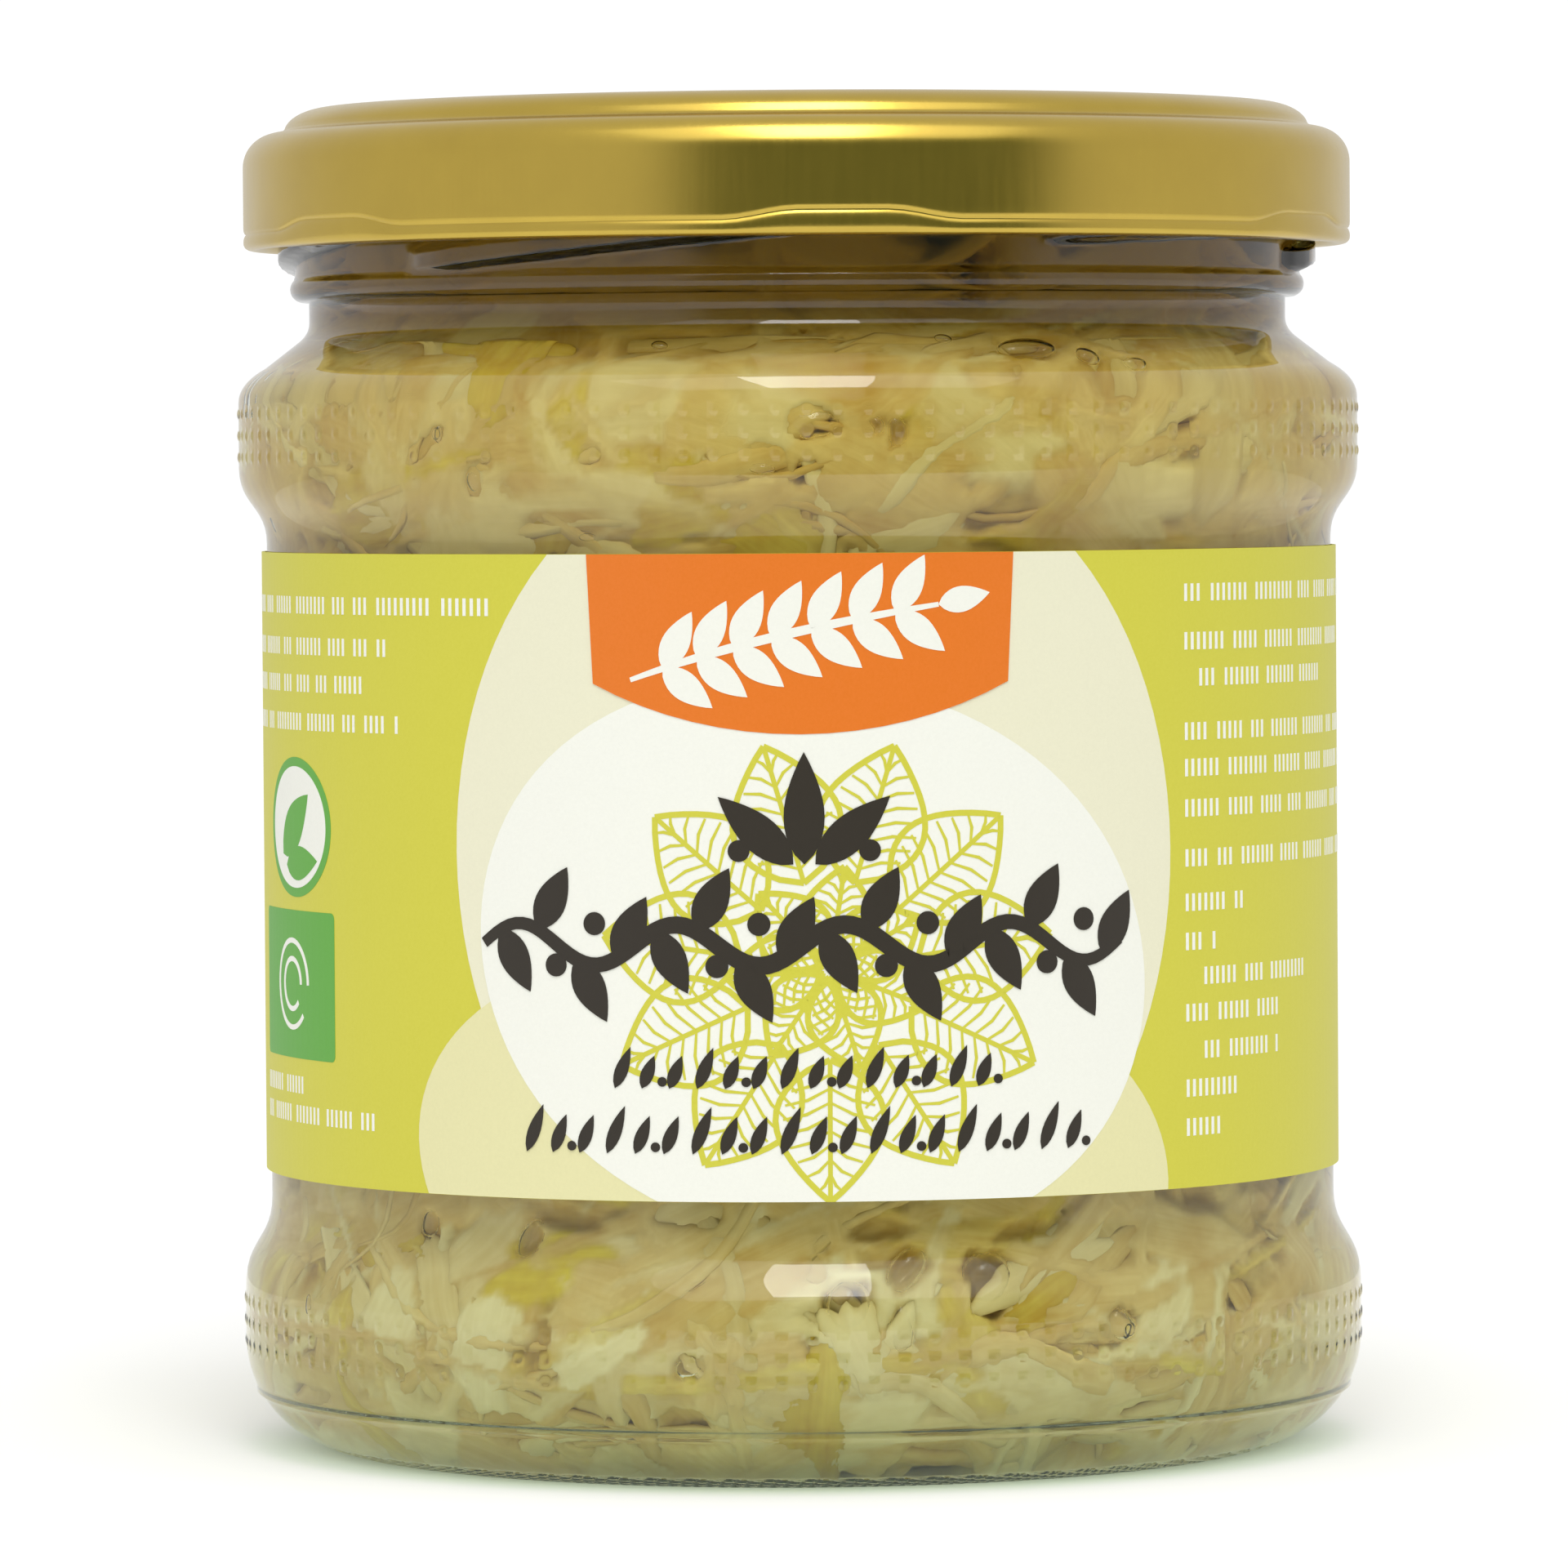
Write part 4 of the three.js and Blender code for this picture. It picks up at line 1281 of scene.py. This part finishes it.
def strips(bed, name, material, count, template, lengths, widths, thicknesses, lifts):
    """Soft strips and strands, lying along curving paths on the bed. Spans are in millimetres."""
    rng, points = bed.rng, template[0]
    stations = 24
    share = np.linspace(0, 1, stations)
    angle0, along0 = spread_starts(rng, count, kraut_zones(neck=False))
    length, width, thick, lift = (
        rng.uniform(*span, count)[:, None] * MM for span in (lengths, widths, thicknesses, lifts)
    )
    bend = rng.normal(0, 0.7, count)[:, None]
    sway = rng.uniform(0.1, 0.5, count)[:, None]
    phase = rng.uniform(0, FULL_TURN, (count, 3))
    heading = rng.normal(0, 0.7, count)[:, None] + bend * share
    heading = heading + sway * np.sin(FULL_TURN * share * 1.3 + phase[:, :1])
    stride = length / (stations - 1)
    along = along0[:, None] + np.cumsum(np.sin(heading) * stride, 1)
    along = np.clip(along, 3 * MM, along_at(84 * MM))
    radius = np.maximum(radius_at(along), 4 * MM)
    angle = angle0[:, None] + np.cumsum(np.cos(heading) * stride / radius, 1)
    # Most lie with their middle under the bed's surface, so that their flanks don't stand up, and
    # their ends dip further in
    depth = bed.depth_at(angle, along) - lift + thick * SUNK_STRIP
    depth = depth + END_DIP * np.abs(2 * share - 1) ** 6
    twist = 0.3 * np.sin(FULL_TURN * share * 0.9 + phase[:, 2:3]) * rng.uniform(0, 1.2, (count, 1))
    run = (points[:, 0] + 1) / 2
    station = run * (stations - 1)
    low = np.clip(station.astype(int), 0, stations - 2)
    part = station - low

    def pick(values):
        return values[:, low] * (1 - part) + values[:, low + 1] * part

    taper = np.sqrt(np.clip(1 - np.abs(points[:, 0]) ** 5, 0.02, 1))
    ripple = 1 + 0.16 * np.sin(9 * run + phase[:, :1])
    across = points[:, 1] * width / 2 * taper * ripple
    out = points[:, 2] * thick / 2 * taper
    turn = pick(twist)
    across, out = across * np.cos(turn) - out * np.sin(turn), across * np.sin(turn) + out * np.cos(turn)
    way = pick(heading)
    place_along = pick(along) + across * np.cos(way)
    place_angle = pick(angle) - across * np.sin(way) / pick(radius)
    film = rng.uniform(*LEAST_FILM, count)[:, None]
    place_depth = np.maximum(pick(depth) + out, film + (out - out.min(1, keepdims=True)) * 0.35)
    fibre = np.stack([run * length + phase[:, :1], across, 0 * across], -1)
    look = looks_of(rng, count, across, tints=(0.0, 1.0), leafy=0.0, rib_share=0.3)
    places = on_wall(place_angle, place_along, place_depth)
    return strewn(name, template, places, (fibre, look), "sauerkraut", material)


def looks_of(rng, count, like, tints, leafy, rib_share):
    """One look for each piece, repeated for its points."""
    rib = (rng.random(count) < rib_share) * rng.uniform(0.4, 1, count)
    own = np.stack([rng.uniform(*tints, count), np.full(count, leafy), rib], -1)
    return np.repeat(own[:, None], like.shape[1], 1)


def scraps(bed, name, material, count, template, lengths, widths, thicknesses, lifts, wave, **looks):
    """Scraps of leaf or chunks of rib, laid on the bed at any angle. Spans are in millimetres."""
    rng, points = bed.rng, template[0]
    angle0, along0 = spread_starts(rng, count, kraut_zones(neck=False))
    long, wide, thick = (rng.uniform(*span, count)[:, None] / 2 * MM
                         for span in (lengths, widths, thicknesses))
    heading = rng.normal(0, 0.8, count)[:, None]
    phase = rng.uniform(0, FULL_TURN, (count, 4))
    norm = (points**2).sum(1) ** 0.5
    u, v, w = (points / norm[:, None]).T
    around = np.arctan2(v, u)
    edge = 1 + 0.2 * np.sin(3 * around + phase[:, :1]) + 0.1 * np.sin(7 * around + phase[:, 1:2])
    lengthwise, across = u * long * edge, v * wide * edge
    ripple = wave * MM * (np.sin(2.6 * u + phase[:, 2:3]) + 0.7 * np.sin(3.4 * v + phase[:, 3:4]))
    along = along0[:, None] + lengthwise * np.sin(heading) + across * np.cos(heading)
    along = np.clip(along, 3 * MM, along_at(84 * MM))
    radius = np.maximum(radius_at(along), 4 * MM)
    angle = angle0[:, None] + (lengthwise * np.cos(heading) - across * np.sin(heading)) / radius
    level = bed.depth_at(angle0, along0)[:, None] + thick * SUNK_SCRAP
    level = level - rng.uniform(*lifts, count)[:, None] * MM
    film = rng.uniform(*LEAST_FILM, count)[:, None]
    depth = np.maximum(level + ripple + w * thick, film + (w + 1) * thick * 0.4)
    fibre = np.stack([lengthwise + phase[:, :1], across, 0 * across], -1)
    look = looks_of(rng, count, across, **looks)
    return strewn(name, template, on_wall(angle, along, depth), (fibre, look), "sauerkraut", material)


class JAR_OT_kraut(bpy.types.Operator):
    """Pack the jar: a pressed bed of flakes and ribbons, with strips, strands and scraps on it"""

    bl_idname = "jar.kraut"
    bl_label = "Sauerkraut"

    def execute(self, context):
        s = settings().kraut
        bed = press_bed(np.random.default_rng(s.seed), s)
        cabbage = fermented_cabbage(s)
        bed_mesh(bed, cabbage)
        strips(bed, "kraut_strips", cabbage, s.strips, unit_tube(10, 15), lengths=(12, 34),
               widths=(1.2, 3.4), thicknesses=(0.6, 1.0), lifts=(-0.21, 0.035))
        strips(bed, "kraut_strands", cabbage, s.strands, unit_tube(6, 13), lengths=(10, 34),
               widths=(0.5, 1.1), thicknesses=(0.4, 0.7), lifts=(-0.14, 0.07))
        scraps(bed, "kraut_ribs", cabbage, s.ribs, unit_block(7), lengths=(7, 16),
               widths=(2.4, 5), thicknesses=(1.2, 2.0), lifts=(-0.56, -0.16), wave=0.1,
               tints=(0.5, 1.0), leafy=0.0, rib_share=1.0)
        scraps(bed, "kraut_leaves", cabbage, s.leaves, unit_block(9), lengths=(6, 14),
               widths=(3, 7), thicknesses=(0.7, 1.0), lifts=(-0.28, -0.08), wave=0.15,
               tints=(0.1, 1.0), leafy=0.7, rib_share=0.0)
        return {"FINISHED"}


# Brine and bubbles

BUBBLE_FLATNESS, BUBBLE_FILM = 0.32, 0.06 * MM
HIDDEN_BUBBLES = 46
BUBBLES = (
    # angle from the front, height, width, height of the bubble and tilt; mm and degrees
    (4.7, 13.3, 3.9, 3.9, 0), (11.0, 16.1, 2.8, 3.8, -35), (20.0, 15.2, 3.9, 4.8, 10),
    (10.1, 12.1, 2.0, 3.3, -8), (35.1, 11.7, 2.4, 2.4, 0), (-30.9, 18.3, 1.9, 3.6, -18),
    (-44.8, 19.1, 1.8, 2.1, 0), (-12.3, 9.1, 2.0, 2.0, 0), (-12.1, 14.9, 0.8, 2.8, -65),
    (-63.7, 12.2, 0.8, 1.2, 0), (-15.6, 83.6, 1.3, 1.0, 0), (1.5, 78.5, 3.6, 2.4, 0),
    (26.3, 83.2, 4.5, 2.6, 0), (33.3, 82.4, 1.8, 2.4, 0), (39.0, 81.7, 2.0, 1.5, 0),
    (10.1, 77.8, 1.5, 2.4, 0), (-3.8, 75.2, 1.8, 0.8, 0), (-23.3, 70.3, 1.3, 0.8, 0),
    (-35.8, 74.6, 1.2, 1.4, 0), (8.0, 78.3, 1.0, 1.6, 20), (-40.0, 77.8, 0.8, 1.0, 0),
    (16.5, 84.0, 1.4, 0.9, 0),
)


class JAR_OT_brine(bpy.types.Operator):
    """Fill the jar with brine that reaches just into the wall, with flattened air bubbles"""

    bl_idname = "jar.brine"
    bl_label = "Brine and bubbles"

    def execute(self, context):
        reach = 0.1 * MM
        along = np.append(WALL_ALONG[WALL[:, 1] < BRINE_TOP], along_at(BRINE_TOP))
        inner = on_wall(0.0, along, np.full(len(along), -reach))
        outline = [(max(0.0, -y), z) for _, y, z in inner]
        outline[0] = (0, outline[0][1])
        bm = turned([*outline, (0, outline[-1][1])])
        finished(bm, "brine_fill", "brine", brine_liquid(settings().brine))
        self.blow_bubbles()
        return {"FINISHED"}

    def blow_bubbles(self):
        """Air pressed flat against the glass, at the places that the jar shows, and some behind."""
        draw = random.Random(31)
        spots = list(BUBBLES)
        for _ in range(HIDDEN_BUBBLES):
            height = draw.choice([draw.uniform(8, 20), draw.uniform(71, 85)])
            size = draw.uniform(0.7, 3.2)
            spots.append((draw.uniform(75, 285), height, size, size * draw.uniform(0.8, 1.4),
                          draw.uniform(-40, 40)))
        ball = bmesh.new()
        bmesh.ops.create_uvsphere(ball, u_segments=24, v_segments=16, radius=1)
        points, faces = arrays_of(ball)
        spots = np.array(spots)
        turn = np.radians(spots[:, 4:5])
        across, up = points[:, 0] * spots[:, 2:3] / 2, points[:, 2] * spots[:, 3:4] / 2
        lumpy = 1 + 0.1 * np.sin(2 * np.arctan2(points[:, 2], points[:, 0]) + spots[:, :1])
        across, up = across * lumpy * MM, up * lumpy * MM
        flat = np.minimum(spots[:, 2:3], spots[:, 3:4]) * BUBBLE_FLATNESS * MM
        lengthwise = across * np.cos(turn) - up * np.sin(turn)
        upwards = across * np.sin(turn) + up * np.cos(turn)
        middle = np.array([along_at(h * MM) for h in spots[:, 1]])[:, None]
        along = middle + upwards
        angle = np.radians(spots[:, :1]) + lengthwise / radius_at(middle)
        depth = flat + BUBBLE_FILM + points[:, 1] * flat
        strewn("air_bubbles", (points, faces), on_wall(angle, along, depth), None, "brine",
               air_in_brine())


# Stage

class JAR_OT_stage(bpy.types.Operator):
    """Set up the floor, the white walls, the lamps and the camera"""

    bl_idname = "jar.stage"
    bl_label = "Stage"

    def execute(self, context):
        s = settings().lights
        self.camera()
        self.floor()
        self.walls(s)
        self.lamps(s)
        context.scene.view_settings.view_transform = "Standard"
        context.scene.cycles.transparent_max_bounces = 16
        context.scene.cycles.transmission_bounces = 9
        context.scene.cycles.diffuse_bounces = 3
        context.scene.cycles.max_bounces = 9
        context.scene.cycles.use_light_tree = False
        return {"FINISHED"}

    def camera(self):
        lens = bpy.data.cameras.new("camera")
        lens.lens, lens.sensor_width, lens.sensor_fit = CAMERA_LENS, CAMERA_SENSOR, "AUTO"
        camera = linked("camera", lens)
        tilt = Matrix.Rotation(math.radians(90 - CAMERA_PITCH), 4, "X")
        roll = Matrix.Rotation(math.radians(CAMERA_ROLL), 4, "Z")
        camera.matrix_world = Matrix.Translation(CAMERA_PLACE) @ tilt @ roll
        bpy.context.scene.camera = camera

    def floor(self):
        bm = bmesh.new()
        bmesh.ops.create_grid(bm, x_segments=2, y_segments=2, size=1.0)
        bmesh.ops.scale(bm, verts=bm.verts, vec=(FLOOR_SIDE, (FLOOR_BACK + FLOOR_FRONT) / 2, 1))
        bmesh.ops.translate(bm, verts=bm.verts, vec=(0, (FLOOR_BACK - FLOOR_FRONT) / 2, 0))
        mesh = bpy.data.meshes.new("floor")
        bm.to_mesh(mesh)
        bm.free()
        # Matt white card: no gloss of its own, so that only the soft shadow shows
        material, tree = new_material("white_card")
        sheet = add(tree, "ShaderNodeBsdfPrincipled", {
            "Base Color": linear("#fbfbfb"), "Roughness": 0.9, "Specular IOR Level": 0.1,
        })
        add(tree, "ShaderNodeOutputMaterial", links={"Surface": sheet.outputs[0]})
        mesh.materials.append(material)
        linked("floor", mesh)

    def walls(self, s):
        """White all round, with a darker front where the camera stands."""
        world = bpy.data.worlds.new("studio")
        world.use_nodes = True
        tree = world.node_tree
        tree.nodes.clear()
        coords = add(tree, "ShaderNodeTexCoord")
        turned_front = add(tree, "ShaderNodeVectorRotate", {"Angle": math.radians(FRONT_TURN)},
                           {"Vector": coords.outputs["Generated"]}, rotation_type="Z_AXIS")
        way = add(tree, "ShaderNodeSeparateXYZ", links={0: turned_front.outputs[0]}).outputs
        front = add(tree, "ShaderNodeMath", operation="MULTIPLY", inputs={1: -1.0},
                    links={0: way["Y"]})
        aside = add(tree, "ShaderNodeMath", operation="ARCTAN2",
                    links={0: way["X"], 1: front.outputs[0]})
        off = add(tree, "ShaderNodeMath", operation="ABSOLUTE", links={0: aside.outputs[0]})
        up = add(tree, "ShaderNodeMath", operation="ARCSINE", links={0: way["Z"]})
        nears = []
        for side, (start, end) in FRONT_FADES.items():
            nears.append(add(tree, "ShaderNodeMapRange", {
                "From Min": math.radians(start), "From Max": math.radians(end),
            }, {"Value": (off if side == "side" else up).outputs[0]},
                interpolation_type="SMOOTHSTEP").outputs[0])
        level = add(tree, "ShaderNodeMath", operation="MULTIPLY", links={0: nears[0], 1: nears[1]})
        gloom = add(tree, "ShaderNodeMath", operation="MULTIPLY",
                    links={0: level.outputs[0], 1: nears[2]})
        tone = blend(tree, gloom.outputs[0], (s.around, s.around, s.around, 1),
                     (*[s.front * share for share in FRONT_TINT], 1))
        path = add(tree, "ShaderNodeLightPath")
        seen = blend(tree, path.outputs["Is Camera Ray"], tone, SEEN_WHITE)
        light = add(tree, "ShaderNodeBackground", links={"Color": seen})
        add(tree, "ShaderNodeOutputWorld", links={"Surface": light.outputs[0]})
        # The walls are so even that rays find them well enough by themselves
        world.cycles.sampling_method = "NONE"
        bpy.context.scene.world = world

    def lamps(self, s):
        """A wide soft strip above the front, with a brighter middle."""
        for name, (size, place), power in (
            ("lamp_wide", WIDE_LAMP, s.wide), ("lamp_middle", MIDDLE_LAMP, s.middle),
        ):
            lamp = bpy.data.lights.new(name, "AREA")
            lamp.shape, lamp.energy = "RECTANGLE", power
            lamp.size, lamp.size_y = size
            holder = linked(name, lamp)
            turn = (LAMP_AIM - Vector(place)).to_track_quat("-Z", "Y")
            holder.matrix_world = Matrix.Translation(place) @ turn.to_matrix().to_4x4()
            holder.visible_camera = False


class JAR_PT_panel(bpy.types.Panel):
    """Lists the pieces of the jar"""

    bl_label = "Sauerkraut jar"
    bl_space_type = "VIEW_3D"
    bl_region_type = "UI"
    bl_category = "Jar"

    def draw(self, context):
        for operator in STEPS:
            self.layout.operator(operator.bl_idname)


STEPS = (JAR_OT_stage, JAR_OT_glass, JAR_OT_lid, JAR_OT_label, JAR_OT_print, JAR_OT_kraut,
         JAR_OT_brine)
CLASSES = (GlassSettings, LidSettings, LabelSettings, KrautSettings, BrineSettings, LightSettings,
           JarSettings, *STEPS, JAR_PT_panel)


def register():
    for cls in CLASSES:
        bpy.utils.register_class(cls)
    bpy.types.Scene.sauerkraut_jar = PointerProperty(type=JarSettings)


def unregister():
    del bpy.types.Scene.sauerkraut_jar
    for cls in reversed(CLASSES):
        bpy.utils.unregister_class(cls)


def main():
    register()
    for operator in STEPS:
        group, name = operator.bl_idname.split(".")
        getattr(getattr(bpy.ops, group), name)()


if __name__ == "__main__":
    main()
